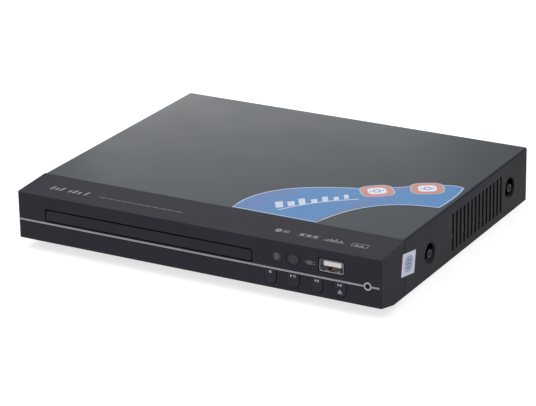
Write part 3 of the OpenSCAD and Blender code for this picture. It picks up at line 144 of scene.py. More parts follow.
class PlayerPrints(bpy.types.PropertyGroup):
    label_colour: colour("Label", "Field of the top label", "#4582bb")
    label_deep: colour("Label depth", "Deeper shade in the label's field", "#5f76ae")
    border_colour: colour("Label border", "Pale border of the label", "#a8b9d1")
    badge_colour: colour("Badges", "Field of the two badges on the label", "#c98078")
    mark_colour: colour("Marks", "Printed marks on the bezel", "#8f9095")
    icon_colour: colour("Icons", "Printed icons on the buttons", "#b9b9bf")
    sticker_colour: colour("Side sticker", "Paper of the small side sticker", "#e9eeff")
    border_width: size("Border width", "Width of the label's border", 1.1, 5)


class PlayerInside(bpy.types.PropertyGroup):
    thread_lead: size("Thread lead", "Advance of the lead screw in one turn", 2.0, 10)
    wire_sag: size("Wire sag", "How far the wires between the boards hang", 1.5, 10)


# ---- materials ----


def connect(tree, node, inputs):
    """Gives each input its value, or a link where the value is another node's output."""
    for name, value in inputs.items():
        if isinstance(value, bpy.types.NodeSocket):
            tree.links.new(value, node.inputs[name])
        else:
            node.inputs[name].default_value = value


def add(tree, kind, inputs=None, **settings):
    """A shader node of that kind with its inputs; settings go to the node itself."""
    node = tree.nodes.new("ShaderNode" + kind)
    for name, value in settings.items():
        setattr(node, name, value)
    connect(tree, node, inputs or {})
    return node


def shade(code, factor):
    """A linear colour from a hex code or a colour, made lighter or darker by a factor."""
    base = linear(code) if isinstance(code, str) else tuple(code)
    return (*(min(1.0, c * factor) for c in base[:3]), 1.0)


def xyz(tree, kind, output):
    """The X, Y and Z of a vector: of the point in Object coordinates, in metres, or of the way its face looks."""
    return add(tree, "SeparateXYZ", {"Vector": add(tree, kind).outputs[output]}).outputs


def blots(tree, across, detail=2.0, stretch=(1, 1, 1)):
    """Noise in Object coordinates whose blots are about that many millimetres across, and longer by each stretch."""
    place = add(tree, "TexCoord").outputs["Object"]
    scale = tuple(1000 / across / s for s in stretch)
    place = add(tree, "Mapping", {"Vector": place, "Scale": scale}).outputs["Vector"]
    return add(tree, "TexNoise", {"Vector": place, "Scale": 1.0, "Detail": detail}).outputs["Fac"]


def between(tree, factor, low, high, start=0.3, end=0.7):
    """The factor from start to end becomes a number from low to high, or a colour from low to high."""
    if isinstance(high, (int, float)):
        inputs = {"Value": factor, "From Min": start, "From Max": end, "To Min": low, "To Max": high}
        return add(tree, "MapRange", inputs).outputs["Result"]
    part = between(tree, factor, 0.0, 1.0, start, end)
    return add(tree, "Mix", {0: part, 6: low, 7: high}, data_type="RGBA").outputs[2]


def surface(tree, shader, tone, rough, bumps, **values):
    """Gives the shader its colour, its roughness, its bumps of (height, full depth in millimetres), each on top of
    the one before, and the values of its other inputs."""
    above = {}
    for height, depth in bumps:
        bump = add(tree, "Bump", {"Height": height, "Distance": depth / 1000, "Strength": 1.0, **above})
        above = {"Normal": bump.outputs["Normal"]}
    plain = {name.replace("_", " "): value for name, value in values.items()}
    connect(tree, shader, {"Base Color": tone, "Roughness": rough, **above, **plain})


def powder_coat(tree, shader, base, dust_and_sheen, peel=0.9, rough=0.33):
    """Baked powder coat: orange peel about 1 mm across, a finer pebble in it, and a pale grey layer of painted sheen
    with a little dust in it. It lies full on what faces up and makes the top paler than the sides, standing in for
    the room's reflection on the top. On the sides it is painted faintly at the front and fades to none at the back."""
    # Painted sheen on the sides: a share of 0.3 at the front that fades to none at the back.
    sides = between(tree, xyz(tree, "TexCoord", "Object")["Y"], 0.3, 0.0, -0.07, 0.09)
    # Share of painted sheen by facing: full where a face looks up, the sides' share below. It also raises the
    # specular level.
    upward_sheen_mask = between(tree, xyz(tree, "NewGeometry", "Normal")["Z"], sides, 1.0, 0.5, 0.98)
    cloud = between(tree, blots(tree, 90, 3), 0.86, 1.0)
    # film: how much of the painted sheen colour covers the paint, broken into soft clouds.
    film = add(tree, "Math", {0: upward_sheen_mask, 1: cloud}, operation="MULTIPLY").outputs[0]
    paint = between(tree, blots(tree, 14), shade(base, 0.94), shade(base, 1.06))
    surface(
        tree, shader, between(tree, film, paint, tuple(dust_and_sheen), 0.0, 1.0),
        between(tree, blots(tree, 30, 3), rough - 0.03, rough + 0.04),
        [(blots(tree, peel / 3, 1), 0.004), (blots(tree, peel, 1), 0.008)],
        Specular_IOR_Level=between(tree, upward_sheen_mask, 0.035, 0.06, 0.3, 1.0),
    )


def moulded(tree, shader, base, grain=0.4, depth=0.008, rough=0.45, level=0.35, soft=0.0):
    """Moulded plastic: the mould's spark-eroded grain as pits of that size, and a slow drift of shade and gloss
    where the melt flowed. soft lets a little light into pale plastics."""
    scatter = dict(Subsurface_Radius=(0.0012, 0.001, 0.0008)) if soft else {}
    surface(
        tree, shader, between(tree, blots(tree, 18, 3), shade(base, 0.95), shade(base, 1.05)),
        between(tree, blots(tree, 9), rough - 0.03, rough + 0.05),
        [(blots(tree, grain / 3, 0), depth / 2), (blots(tree, grain, 2), depth)],
        Specular_IOR_Level=level, Subsurface_Weight=soft, **scatter,
    )


def zinc_sheet(tree, shader, base="#b9babb", spangle=7.0, rough=0.36):
    """Zinc-plated steel sheet: frost-like crystals some millimetres across, each with its own tone and gloss, and
    fine rolling marks along Y."""
    place = add(tree, "TexCoord").outputs["Object"]
    crystal = add(tree, "TexVoronoi", {"Vector": place, "Scale": 1000 / spangle}).outputs["Color"]
    tone = add(tree, "SeparateColor", {"Color": crystal}).outputs["Red"]
    surface(
        tree, shader, between(tree, tone, shade(base, 0.86), shade(base, 1.04), 0, 1),
        between(tree, tone, rough - 0.06, rough + 0.1, 0, 1),
        [(blots(tree, 0.35, 2, (1, 30, 1)), 0.003)], Metallic=1.0,
    )


def worked_metal(tree, shader, base, along=(30, 1, 1), width=0.25, rough=0.28, depth=0.002, metal=1.0):
    """Drawn, ground or turned metal: hair-thin tool marks that run along the stretched axis, and a faint drift of
    tarnish."""
    marks = blots(tree, width, 2, along)
    surface(
        tree, shader, between(tree, blots(tree, 11, 3), shade(base, 0.9), shade(base, 1.03)),
        between(tree, marks, rough - 0.06, rough + 0.1), [(marks, depth)], Metallic=metal,
    )


def punched_shell(tree, shader, base, shaded_cut, node):
    """Plated sheet whose punched front edge is bare and duller than its faces. Painted shade darkens that edge
    towards the top, where it sits under the rim of its opening."""
    worked_metal(tree, shader, base, along=(1, 20, 1), rough=0.22)
    low, high = box(node) / 1000
    height = xyz(tree, "TexCoord", "Object")["Z"]
    facing = xyz(tree, "NewGeometry", "Normal")["Y"]
    # Painted shade on the front edge: light at the bottom and dark at the top, under the rim of the opening.
    tone = between(tree, height, shade(shaded_cut, 1.45), shade(shaded_cut, 0.35), low[2], high[2])
    plated = shader.inputs["Base Color"].links[0].from_socket
    connect(tree, shader, {"Base Color": between(tree, facing, tone, plated, -0.9, -0.4)})


def circuit_board(tree, shader, mask="#1f6a3c", copper="#3c8a55", tin="#b8b9b0", pitch=1.25, patch=7.0, pad=3.4):
    """Glass-fibre board under green solder mask: parallel copper tracks at that pitch show as paler raised lines,
    and turn from one direction to the other from patch to patch, with tinned dots between them."""
    place = add(tree, "TexCoord").outputs["Object"]
    split = add(tree, "SeparateXYZ", {"Vector": place}).outputs
    cell = add(
        tree, "TexVoronoi", {"Vector": place, "Scale": 1000 / patch, "Randomness": 0.9}, distance="CHEBYCHEV"
    )
    pick = add(tree, "SeparateColor", {"Color": cell.outputs["Color"]}).outputs
    turned = add(tree, "Math", {0: pick["Red"], 1: 0.5}, operation="GREATER_THAN").outputs[0]
    across = add(tree, "Mix", {0: turned, 2: split["X"], 3: split["Y"]}, data_type="FLOAT").outputs[0]
    wave = add(tree, "Math", {0: across, 1: pitch / 1000}, operation="PINGPONG").outputs[0]
    track = between(tree, wave, 0.0, 1.0, pitch * 0.00062, pitch * 0.0007)
    bare = between(tree, pick["Green"], 0.0, 1.0, 0.3, 0.31)
    shown = add(tree, "Math", {0: track, 1: bare}, operation="MULTIPLY").outputs[0]
    dots = add(tree, "TexVoronoi", {"Vector": place, "Scale": 1000 / pad}).outputs["Distance"]
    pads = between(tree, dots, 1.0, 0.0, 0.13, 0.15)
    ground = between(tree, shown, linear(mask), linear(copper), 0, 1)
    height = add(tree, "Math", {0: shown, 1: pads}, operation="MAXIMUM").outputs[0]
    surface(
        tree, shader, between(tree, pads, ground, linear(tin), 0, 1), between(tree, pads, 0.32, 0.22, 0, 1),
        [(height, 0.03)], Specular_IOR_Level=0.5,
    )


def paper_laminate(tree, shader, base="#a98a55"):
    """Tan phenolic paper board: cloudy resin, and fibres a few millimetres long in both directions."""
    fibres = blots(tree, 0.3, 3, (12, 1, 1))
    clouds = between(tree, blots(tree, 12, 3), shade(base, 0.85), shade(base, 1.08))
    surface(
        tree, shader, between(tree, fibres, clouds, shade(base, 0.7), 0.55, 0.8),
        between(tree, blots(tree, 5), 0.38, 0.5), [(fibres, 0.006)],
    )


def rubber(tree, shader, base="#17171a", bloom="#2b2b2e", rough=0.62):
    """Moulded rubber: a dry bloom in patches, and a fine dull grain."""
    surface(
        tree, shader, between(tree, blots(tree, 4, 4), linear(base), linear(bloom), 0.35, 0.8),
        between(tree, blots(tree, 3), rough - 0.05, rough + 0.1), [(blots(tree, 0.3, 2), 0.01)],
        Specular_IOR_Level=0.3,
    )


def clear_plastic(tree, shader, base, rough=0.08, through=0.0, level=0.5):
    """Polished lens plastic or glass: deep colour with slight flow streaks, and shallow sink marks in its gloss."""
    surface(
        tree, shader, between(tree, blots(tree, 2.5, 2, (1, 1, 3)), shade(base, 0.8), shade(base, 1.2)),
        between(tree, blots(tree, 1.5), rough, rough + 0.06), [(blots(tree, 3.0, 1), 0.01)],
        Specular_IOR_Level=level, Transmission_Weight=through,
    )


def domed_window(tree, shader, middle, rim, node, rough=0.16, level=0.12):
    """A smoked window that darkens towards its rim: the distance from the middle of its box, as a share of its half
    width and half height, mixes the two colours."""
    low, high = box(node) / 1000
    centre, half = (low + high) / 2, (high - low) / 2
    place = add(tree, "TexCoord").outputs["Object"]
    away = add(tree, "VectorMath", {0: place, 1: tuple(centre)}, operation="SUBTRACT").outputs[0]
    away = add(tree, "VectorMath", {0: away, 1: (1 / half[0], 0, 1 / half[2])}, operation="MULTIPLY").outputs[0]
    away = add(tree, "VectorMath", {0: away}, operation="LENGTH").outputs["Value"]
    blend = between(tree, away, linear(middle), linear(rim), 0.45, 0.8)
    surface(
        tree, shader, between(tree, blots(tree, 1.5, 2, (1, 1, 2)), blend, linear(rim), 0.6, 1.3),
        between(tree, blots(tree, 1.5), rough, rough + 0.06), [(blots(tree, 2.0, 1), 0.006)],
        Specular_IOR_Level=level,
    )


def ink(tree, shader, base, dots=0.25, strength=0.08, rough=0.4, level=0.3):
    """Screen-printed ink or printed film: a dot screen of that pitch that lets the ground through, and the ink's
    slightly uneven gloss."""
    place = add(tree, "TexCoord").outputs["Object"]
    screen = add(tree, "TexVoronoi", {"Vector": place, "Scale": 1000 / dots, "Randomness": 0.15})
    worn = shade(base, 1 - strength)
    patchy = between(tree, blots(tree, 2.5, 3), worn, shade(base, 1 + strength / 2))
    surface(
        tree, shader, between(tree, screen.outputs["Distance"], patchy, worn, 0.4, 0.7),
        between(tree, blots(tree, 1.2), rough - 0.04, rough + 0.06), [(blots(tree, 0.2, 1), 0.002)],
        Specular_IOR_Level=level,
    )


def label_film(tree, shader, field, deep):
    """The label's printed film: a blue field that drifts to a deeper violet blue in broad soft patches along its
    length, under a clear gloss layer with a faint ripple."""
    run = between(tree, xyz(tree, "TexCoord", "Object")["X"], 0.0, 12.6, 0.008, 0.110)
    swing = add(tree, "Math", {0: run}, operation="SINE").outputs[0]
    drift = between(tree, blots(tree, 26, 2), -0.6, 0.6)
    drift = add(tree, "Math", {0: swing, 1: drift}, operation="ADD").outputs[0]
    surface(
        tree, shader, between(tree, drift, tuple(field), tuple(deep), -0.2, 1.6),
        between(tree, blots(tree, 6), 0.3, 0.38), [(blots(tree, 7, 1), 0.01)], Specular_IOR_Level=0.1,
    )


def flat_cable(tree, shader, base="#dcdcd8", line="#9c9fa3", pitch=1.0):
    """Flat cable: tinned conductors at that pitch show through the white film as grey lines along Y."""
    across = xyz(tree, "TexCoord", "Object")["Y"]
    wave = add(tree, "Math", {0: across, 1: pitch / 2000}, operation="PINGPONG").outputs[0]
    surface(
        tree, shader, between(tree, wave, linear(line), linear(base), pitch * 0.0002, pitch * 0.0003),
        between(tree, blots(tree, 2), 0.3, 0.4), [(wave, -0.05)], Specular_IOR_Level=0.4,
    )


def wound_tape(tree, shader, base="#c9a02c", lap=4.5):
    """Polyester tape over a winding: a line at each lap of that height, and creases."""
    height = xyz(tree, "TexCoord", "Object")["Z"]
    line = add(tree, "Math", {0: height, 1: lap / 1000}, operation="MODULO").outputs[0]
    edge = between(tree, line, 0.0, 1.0, 0.0, 0.0004)
    surface(
        tree, shader, between(tree, edge, shade(base, 0.6), shade(base, 1.0), 0, 1),
        between(tree, blots(tree, 1.5), 0.22, 0.34), [(blots(tree, 3, 2, (1, 1, 0.3)), 0.05)],
    )


# Each finish: the name of its real material, its recipe and the recipe's values
FINISHES = {
    "zinc_sheet": ("zinc_plated_steel_sheet", zinc_sheet, {}),
    "silver_trim": ("hot_stamped_silver_foil", worked_metal, dict(base="#8f909a", rough=0.34, metal=0.55)),
    "ring_metal": ("bright_plated_ring", worked_metal, dict(base="#a2a3a9", rough=0.28, metal=0.7)),
    "lamp_plastic": ("smoked_acrylic", clear_plastic, dict(base="#08070a", level=0.1)),
    "window_plastic": (
        "infrared_filter_acrylic", domed_window, dict(middle="#454246", rim="#19171b", node="ir_window")
    ),
    "indicator_plastic": (
        "frosted_polycarbonate", domed_window, dict(middle="#5d5d66", rim="#3a3a42", node="indicator_lens")
    ),
    # The shell's front edge colour gets painted shade that darkens it towards the top.
    "socket_steel": (
        "nickel_plated_shell", punched_shell, dict(base="#d5d6da", shaded_cut="#77787d", node="socket_shell")
    ),
    "tongue_plastic": ("white_thermoplastic_insulator", moulded, dict(base="#f7f6fc", grain=0.15, soft=0.2)),
    "contact_gold": ("gold_flashed_contacts", worked_metal, dict(base="#d9b25c", along=(1, 20, 1), width=0.1)),
    "board_fibre": ("solder_masked_glass_fibre", circuit_board, {}),
    "board_paper": ("phenolic_paper_laminate", paper_laminate, {}),
    "switch_plastic": ("black_nylon_switch", moulded, dict(base="#232326", grain=0.15, rough=0.5)),
    "fastener_steel": ("zinc_plated_screw_steel", worked_metal, dict(base="#b9bbbf", along=(1, 1, 8), width=0.1)),
    "black_screw": (
        "black_phosphated_steel", worked_metal, dict(base="#1c1c1f", rough=0.58, metal=0.25, width=0.1)
    ),
    "chip_plastic": ("epoxy_moulded_package", moulded, dict(base="#19191c", grain=0.12, depth=0.004, rough=0.55)),
    "sink_aluminium": ("extruded_aluminium", worked_metal, dict(base="#bfc1c4", along=(1, 30, 1), rough=0.36)),
    "capacitor_sleeve": (
        "shrunk_vinyl_sleeve", moulded, dict(base="#263551", grain=0.6, depth=0.004, rough=0.3)
    ),
    "capacitor_top": ("stamped_aluminium_can", worked_metal, dict(base="#c6c8cb", along=(1, 1, 1), rough=0.32)),
    "connector_plastic": (
        "natural_nylon_header", moulded, dict(base="#ddd8c8", grain=0.2, rough=0.42, soft=0.12)
    ),
    "transformer_tape": ("yellow_polyester_tape", wound_tape, {}),
    "ferrite": ("sintered_ferrite_core", moulded, dict(base="#2b2a2b", grain=0.3, depth=0.02, rough=0.55)),
    "copper_wire": ("enamelled_copper_wire", worked_metal, dict(base="#b0643a", along=(1, 1, 1), width=0.2)),
    "fuse_glass": ("soda_lime_glass_tube", clear_plastic, dict(base="#dfe4e4", through=0.6, rough=0.04)),
    "fuse_cap": ("tinned_brass_caps", worked_metal, dict(base="#cfd0d0", along=(1, 1, 1), rough=0.26)),
    "jack_plastic": ("black_glass_filled_block", moulded, dict(base="#1b1b1e", grain=0.35, rough=0.4)),
    "jack_brass": ("gilt_brass_sleeve", worked_metal, dict(base="#d8bb72", along=(1, 6, 1), rough=0.2)),
    "inlet_plastic": ("black_flame_retardant_nylon", moulded, dict(base="#18181a", grain=0.3, rough=0.42)),
    "pin_brass": ("turned_brass_pin", worked_metal, dict(base="#cdb05a", along=(1, 8, 1), rough=0.24)),
    "cable_white": ("laminated_flat_cable", flat_cable, {}),
    "loader_plastic": ("black_polystyrene_frame", moulded, dict(base="#26282b", grain=0.5, rough=0.42)),
    "tray_plastic": (
        "black_polystyrene_tray", moulded, dict(base="#252529", grain=0.3, depth=0.006, rough=0.46)
    ),
    "puck_plastic": ("black_acetal_puck", moulded, dict(base="#222226", grain=0.3, rough=0.34)),
    "magnet_steel": ("nickel_plated_magnet", worked_metal, dict(base="#a9abaf", along=(1, 1, 1), rough=0.26)),
    "gear_acetal": (
        "natural_acetal", moulded, dict(base="#dfdcd0", grain=0.25, depth=0.004, rough=0.34, soft=0.15)
    ),
    "belt_rubber": ("ground_belt_rubber", rubber, dict(rough=0.55)),
    "motor_can": ("drawn_plated_motor_can", worked_metal, dict(base="#b6b8bb", along=(1, 1, 12), rough=0.3)),
    "rod_steel": ("ground_steel_rod", worked_metal, dict(base="#cfd1d3", along=(1, 25, 1), rough=0.14)),
    "pickup_alloy": ("die_cast_zinc_alloy", moulded, dict(base="#7c7f84", grain=0.5, depth=0.02, rough=0.4)),
    "lens_glass": ("coated_lens", clear_plastic, dict(base="#3f6fb0", rough=0.03)),
    "foot_rubber": ("moulded_foot_rubber", rubber, {}),
    "felt_pad": ("grippy_disc_pad", rubber, dict(base="#202023", bloom="#343438", rough=0.7)),
    "double_line_ink": ("grey_line_ink", ink, dict(base="#5f6874")),
    "white_ink": ("white_ink", ink, dict(base="#e4e9f3")),
    "bar_ink": ("pale_blue_white_ink", ink, dict(base="#cdd7eb")),
    "violet_ink": ("violet_ink", ink, dict(base="#6d78bd")),
    "seal_ink": ("pale_blue_ink", ink, dict(base="#b4bce0")),
    "faint_ink": ("faint_grey_ink", ink, dict(base="#6a6970", strength=0.3)),
}
for tint, code in dict(red="#b3211f", yellow="#d9b520", black="#202022", white="#dcdbd4").items():
    soft = dict(soft=0.1) if tint == "white" else {}
    FINISHES["jack_" + tint] = (tint + "_socket_insulator", moulded, dict(base=code, grain=0.2, rough=0.36, **soft))
for tint, code in dict(red="#a02a20", black="#1d1d1f", yellow="#cda52a", white="#d9d8d2").items():
    FINISHES["wire_" + tint] = (tint + "_vinyl_wire", moulded, dict(base=code, grain=1.2, depth=0.006, rough=0.38))


def finish(key):
    """The material of that finish, made the first time it is asked for."""
    cabinet, prints = bpy.context.scene.player_cabinet, bpy.context.scene.player_prints
    bezel = cabinet.bezel_colour
    adjustable = {
        "cover_paint": (
            "powder_coated_steel", powder_coat, dict(base=cabinet.cover_colour, dust_and_sheen=cabinet.dust_and_sheen_colour)
        ),
        "bezel_plastic": (
            "spark_eroded_polystyrene", moulded, dict(base=bezel, grain=0.45, rough=0.42, level=0.025)
        ),
        "button_plastic": (
            "polished_polystyrene_keys", moulded, dict(base=bezel, grain=0.3, depth=0.004, rough=0.36, level=0.06)
        ),
        "label_film": (
            "printed_label_film", label_film, dict(field=prints.label_colour, deep=prints.label_deep)
        ),
        "border_ink": ("pale_border_ink", ink, dict(base=prints.border_colour)),
        "badge_ink": ("salmon_badge_ink", ink, dict(base=prints.badge_colour)),
        "mark_ink": ("grey_marking_ink", ink, dict(base=prints.mark_colour, strength=0.25)),
        "icon_ink": ("pale_icon_ink", ink, dict(base=prints.icon_colour, strength=0.2)),
        "sticker_paper": ("coated_sticker_paper", ink, dict(base=prints.sticker_colour, dots=0.5)),
    }
    name, recipe, values = adjustable.get(key) or FINISHES[key]
    if name in bpy.data.materials:
        return bpy.data.materials[name]
    material, tree = blank_material(name)
    shader = add(tree, "BsdfPrincipled")
    add(tree, "OutputMaterial", {"Surface": shader.outputs["BSDF"]})
    recipe(tree, shader, **values)
    return material


def blank_material(name):
    """A new material and its empty node tree."""
    material = bpy.data.materials.new(name)
    material.use_nodes = True
    material.node_tree.nodes.clear()
    return material, material.node_tree


# ---- shapes: each is (points in mm, faces) and is closed, with its faces outwards ----


def sheet(grid, wrap_u=False, wrap_v=False):
    """A grid of points as four-sided faces; their normal is the u step crossed with the v step."""
    nu, nv = grid.shape[:2]
    i, j = np.meshgrid(np.arange(nu - (not wrap_u)), np.arange(nv - (not wrap_v)), indexing="ij")
    i2, j2 = (i + 1) % nu, (j + 1) % nv
    faces = np.stack([i * nv + j, i2 * nv + j, i2 * nv + j2, i * nv + j2], -1).reshape(-1, 4)
    return grid.reshape(-1, 3), faces.tolist()


def slab(outline, low, high):
    """An outline in (a, b), anticlockwise, carried along c from low to high and closed with two flat caps."""
    outline = np.asarray(outline, float)
    n = len(outline)
    rings = [np.column_stack([outline, np.full(n, c)]) for c in (low, high)]
    points, faces = sheet(np.stack(rings, 1), wrap_u=True)
    return points, faces + [list(range(1, 2 * n, 2)), list(range(0, 2 * n, 2))[::-1]]


def lathe(profile, steps=48):
    """A profile of (radius, height) points turned about c; it runs from the axis underneath, up the outside, to the
    axis on top."""
    radius, height = np.asarray(profile, float).T
    turn = np.linspace(0, 2 * np.pi, steps, endpoint=False)[:, None]
    height = np.broadcast_to(height, (steps, len(height)))
    return sheet(np.stack([radius * np.cos(turn), radius * np.sin(turn), height], -1), wrap_u=True)


def ring(inner, outer, low, high, steps=48):
    """A flat ring: its square section turned about c."""
    return lathe([(inner, low), (outer, low), (outer, high), (inner, high), (inner, low)], steps)


def skin(grid, closed=False):
    """The surface through a row of rings; unless the last ring joins the first, both ends are capped."""
    points, faces = sheet(grid, closed, True)
    if not closed:
        m = grid.shape[1]
        faces += [list(range(m)), list(range(len(points) - m, len(points)))[::-1]]
    return points, faces


def carried(path, profile, up=UP, closed=False):
    """A profile of (sideways, upwards) points carried along a path. Sideways is up crossed with the way of travel,
    and the ends of an open path are capped."""
    path, profile = np.asarray(path, float), np.asarray(profile, float)
    way = np.roll(path, -1, 0) - np.roll(path, 1, 0) if closed else np.gradient(path, axis=0)
    way /= np.linalg.norm(way, axis=1, keepdims=True)
    side = np.cross(up, way)
    side /= np.linalg.norm(side, axis=1, keepdims=True)
    rise = np.cross(way, side)
    return skin(path[:, None] + profile[:, :1] * side[:, None] + profile[:, 1:] * rise[:, None], closed)


def circle(radius, steps=12):
    """Points round a circle, anticlockwise."""
    turn = np.linspace(0, 2 * np.pi, steps, endpoint=False)
    return radius * np.column_stack([np.cos(turn), np.sin(turn)])


def rounded(width, height, radius, steps=5):
    """A rectangle round (0, 0) with round corners: a quarter circle moved to each corner in turn."""
    turn = np.linspace(0, np.pi / 2, steps)[None] + np.arange(4)[:, None] * np.pi / 2
    middle = np.array([[1, 1], [-1, 1], [-1, -1], [1, -1]]) * (np.array([width, height]) / 2 - radius)
    return (middle[:, None] + radius * np.stack([np.cos(turn), np.sin(turn)], -1)).reshape(-1, 2)


def bezier(ends, steps=14):
    """A cubic curve through the first and last of four points, without its last point."""
    t = np.linspace(0, 1, steps, endpoint=False)[:, None]
    a, b, c, d = np.asarray(ends, float)
    return (1 - t) ** 3 * a + 3 * (1 - t) ** 2 * t * b + 3 * (1 - t) * t**2 * c + t**3 * d


def triangle(width, height, way=1):
    """A triangle that points along a, or against it."""
    points = np.array([(-width / 2, -height / 2), (width / 2, 0), (-width / 2, height / 2)])
    return points if way > 0 else (points * (-1, 1))[::-1]


def bar(width, height, lean=0.0):
    """An upright bar whose top is pushed sideways by lean times its height."""
    half, push = height / 2, lean * height / 2
    return np.array([(-width / 2 - push, -half), (width / 2 - push, -half), (width / 2 + push, half),
                     (-width / 2 + push, half)])


def moved(shape, origin, a=RIGHT, b=BACK):
    """The shape's local (a, b, c) axes laid on the frame: c is a crossed with b."""
    a, b = np.asarray(a, float), np.asarray(b, float)
    return np.asarray(origin, float) + shape[0] @ np.stack([a, b, np.cross(a, b)]), shape[1]


def block(x, y, wide, deep, low, high):
    """A block that stands on (x, y) between two heights."""
    return moved(slab(bar(wide, deep), low, high), [x, y, 0])


def printed(outlines, origin, a=RIGHT, b=UP, thick=0.03):
    """Flat outlines, each with its own (a, b) offset, as thin ink that starts just under the surface."""
    return [moved(slab(np.asarray(outline) + offset, SUNK, thick), origin, a, b) for outline, offset in outlines]


# ---- pieces ----


def box(node):
    """The lowest and highest corner of a CAD node in millimetres."""
    return np.array([list(corner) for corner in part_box(node)]) * 1000


def middle(node):
    """The middle of a CAD node's box in millimetres."""
    return box(node).mean(0)


def coat(mesh, look):
    """Gives a mesh its finish, and smooth shading up to the sharp edges where its faces turn."""
    mesh.materials.clear()
    mesh.materials.append(finish(look))
    mesh.polygons.foreach_set("use_smooth", np.ones(len(mesh.polygons), bool))
    mesh.set_sharp_from_angle(angle=math.radians(SHARP_TURN))


def made_of(mesh, name, look, edge):
    """A new object from a mesh, with its edges rounded by a length in metres."""
    coat(mesh, look)
    made = bpy.data.objects.new(name, mesh)
    bpy.context.scene.collection.objects.link(made)
    if edge:
        rounding = made.modifiers.new("Rounded edges", "BEVEL")
        rounding.width = edge
        rounding.segments = 2
        rounding.limit_method = "ANGLE"
        rounding.harden_normals = True
    return made


def piece(name, body, slot, shapes, look=None, edge=0.0, replaces=(), recalculate=False):
    """One object from shapes given in millimetres. It rides on the body, takes its finish from the record's slot or
    from a look of its own, and may have its edges rounded."""
    offsets = np.cumsum([0] + [len(points) for points, _ in shapes])
    points = np.concatenate([points for points, _ in shapes]) / 1000
    faces = [[i + start for i in face] for (_, some), start in zip(shapes, offsets) for face in some]
    mesh = bpy.data.meshes.new(name)
    mesh.from_pydata(points, [], faces)
    work = bmesh.new()
    work.from_mesh(mesh)
    bmesh.ops.remove_doubles(work, verts=work.verts, dist=1e-6)
    bmesh.ops.dissolve_degenerate(work, edges=work.edges, dist=1e-7)
    if recalculate:
        bmesh.ops.recalc_face_normals(work, faces=work.faces)
    work.to_mesh(mesh)
    work.free()
    made = made_of(mesh, name, look or slot, edge / 1000)
    if body:
        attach(made, body)
    if replaces:
        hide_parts(*replaces)
    return made


def dress(*nodes):
    """Gives CAD nodes the finish of their slots in the record."""
    for node in nodes:
        coat(NODES[node].data, SLOT_OF[node])


def softened(node, edge):
    """A copy of a CAD node with its triangles merged into flat faces and its edges rounded by a length in metres.
    The copy stands for the node."""
    source = NODES[node]
    mesh = source.data.copy()
    work = bmesh.new()
    work.from_mesh(mesh)
    bmesh.ops.remove_doubles(work, verts=work.verts, dist=2e-6)
    bmesh.ops.dissolve_limit(work, angle_limit=math.radians(FLAT_TURN), verts=work.verts, edges=work.edges)
    work.to_mesh(mesh)
    work.free()
    if "custom_normal" in mesh.attributes:
        mesh.attributes.remove(mesh.attributes["custom_normal"])
    made = made_of(mesh, node + "_finished", SLOT_OF[node], edge)
    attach(made, source["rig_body"])
    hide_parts(node)


# ---- places that several groups share ----

FACE_Y = box("front_bezel")[0][1]
SEAM_Y = box("top_cover")[0][1]
RIGHT_X, _, TOP_Z = box("top_cover")[1]
FACET_DROP = 1.7
FACET = math.atan2(FACET_DROP, SEAM_Y - FACE_Y)
FACET_BACK = np.array([0, math.cos(FACET), math.sin(FACET)])


# ---- one operator for each group of pieces ----


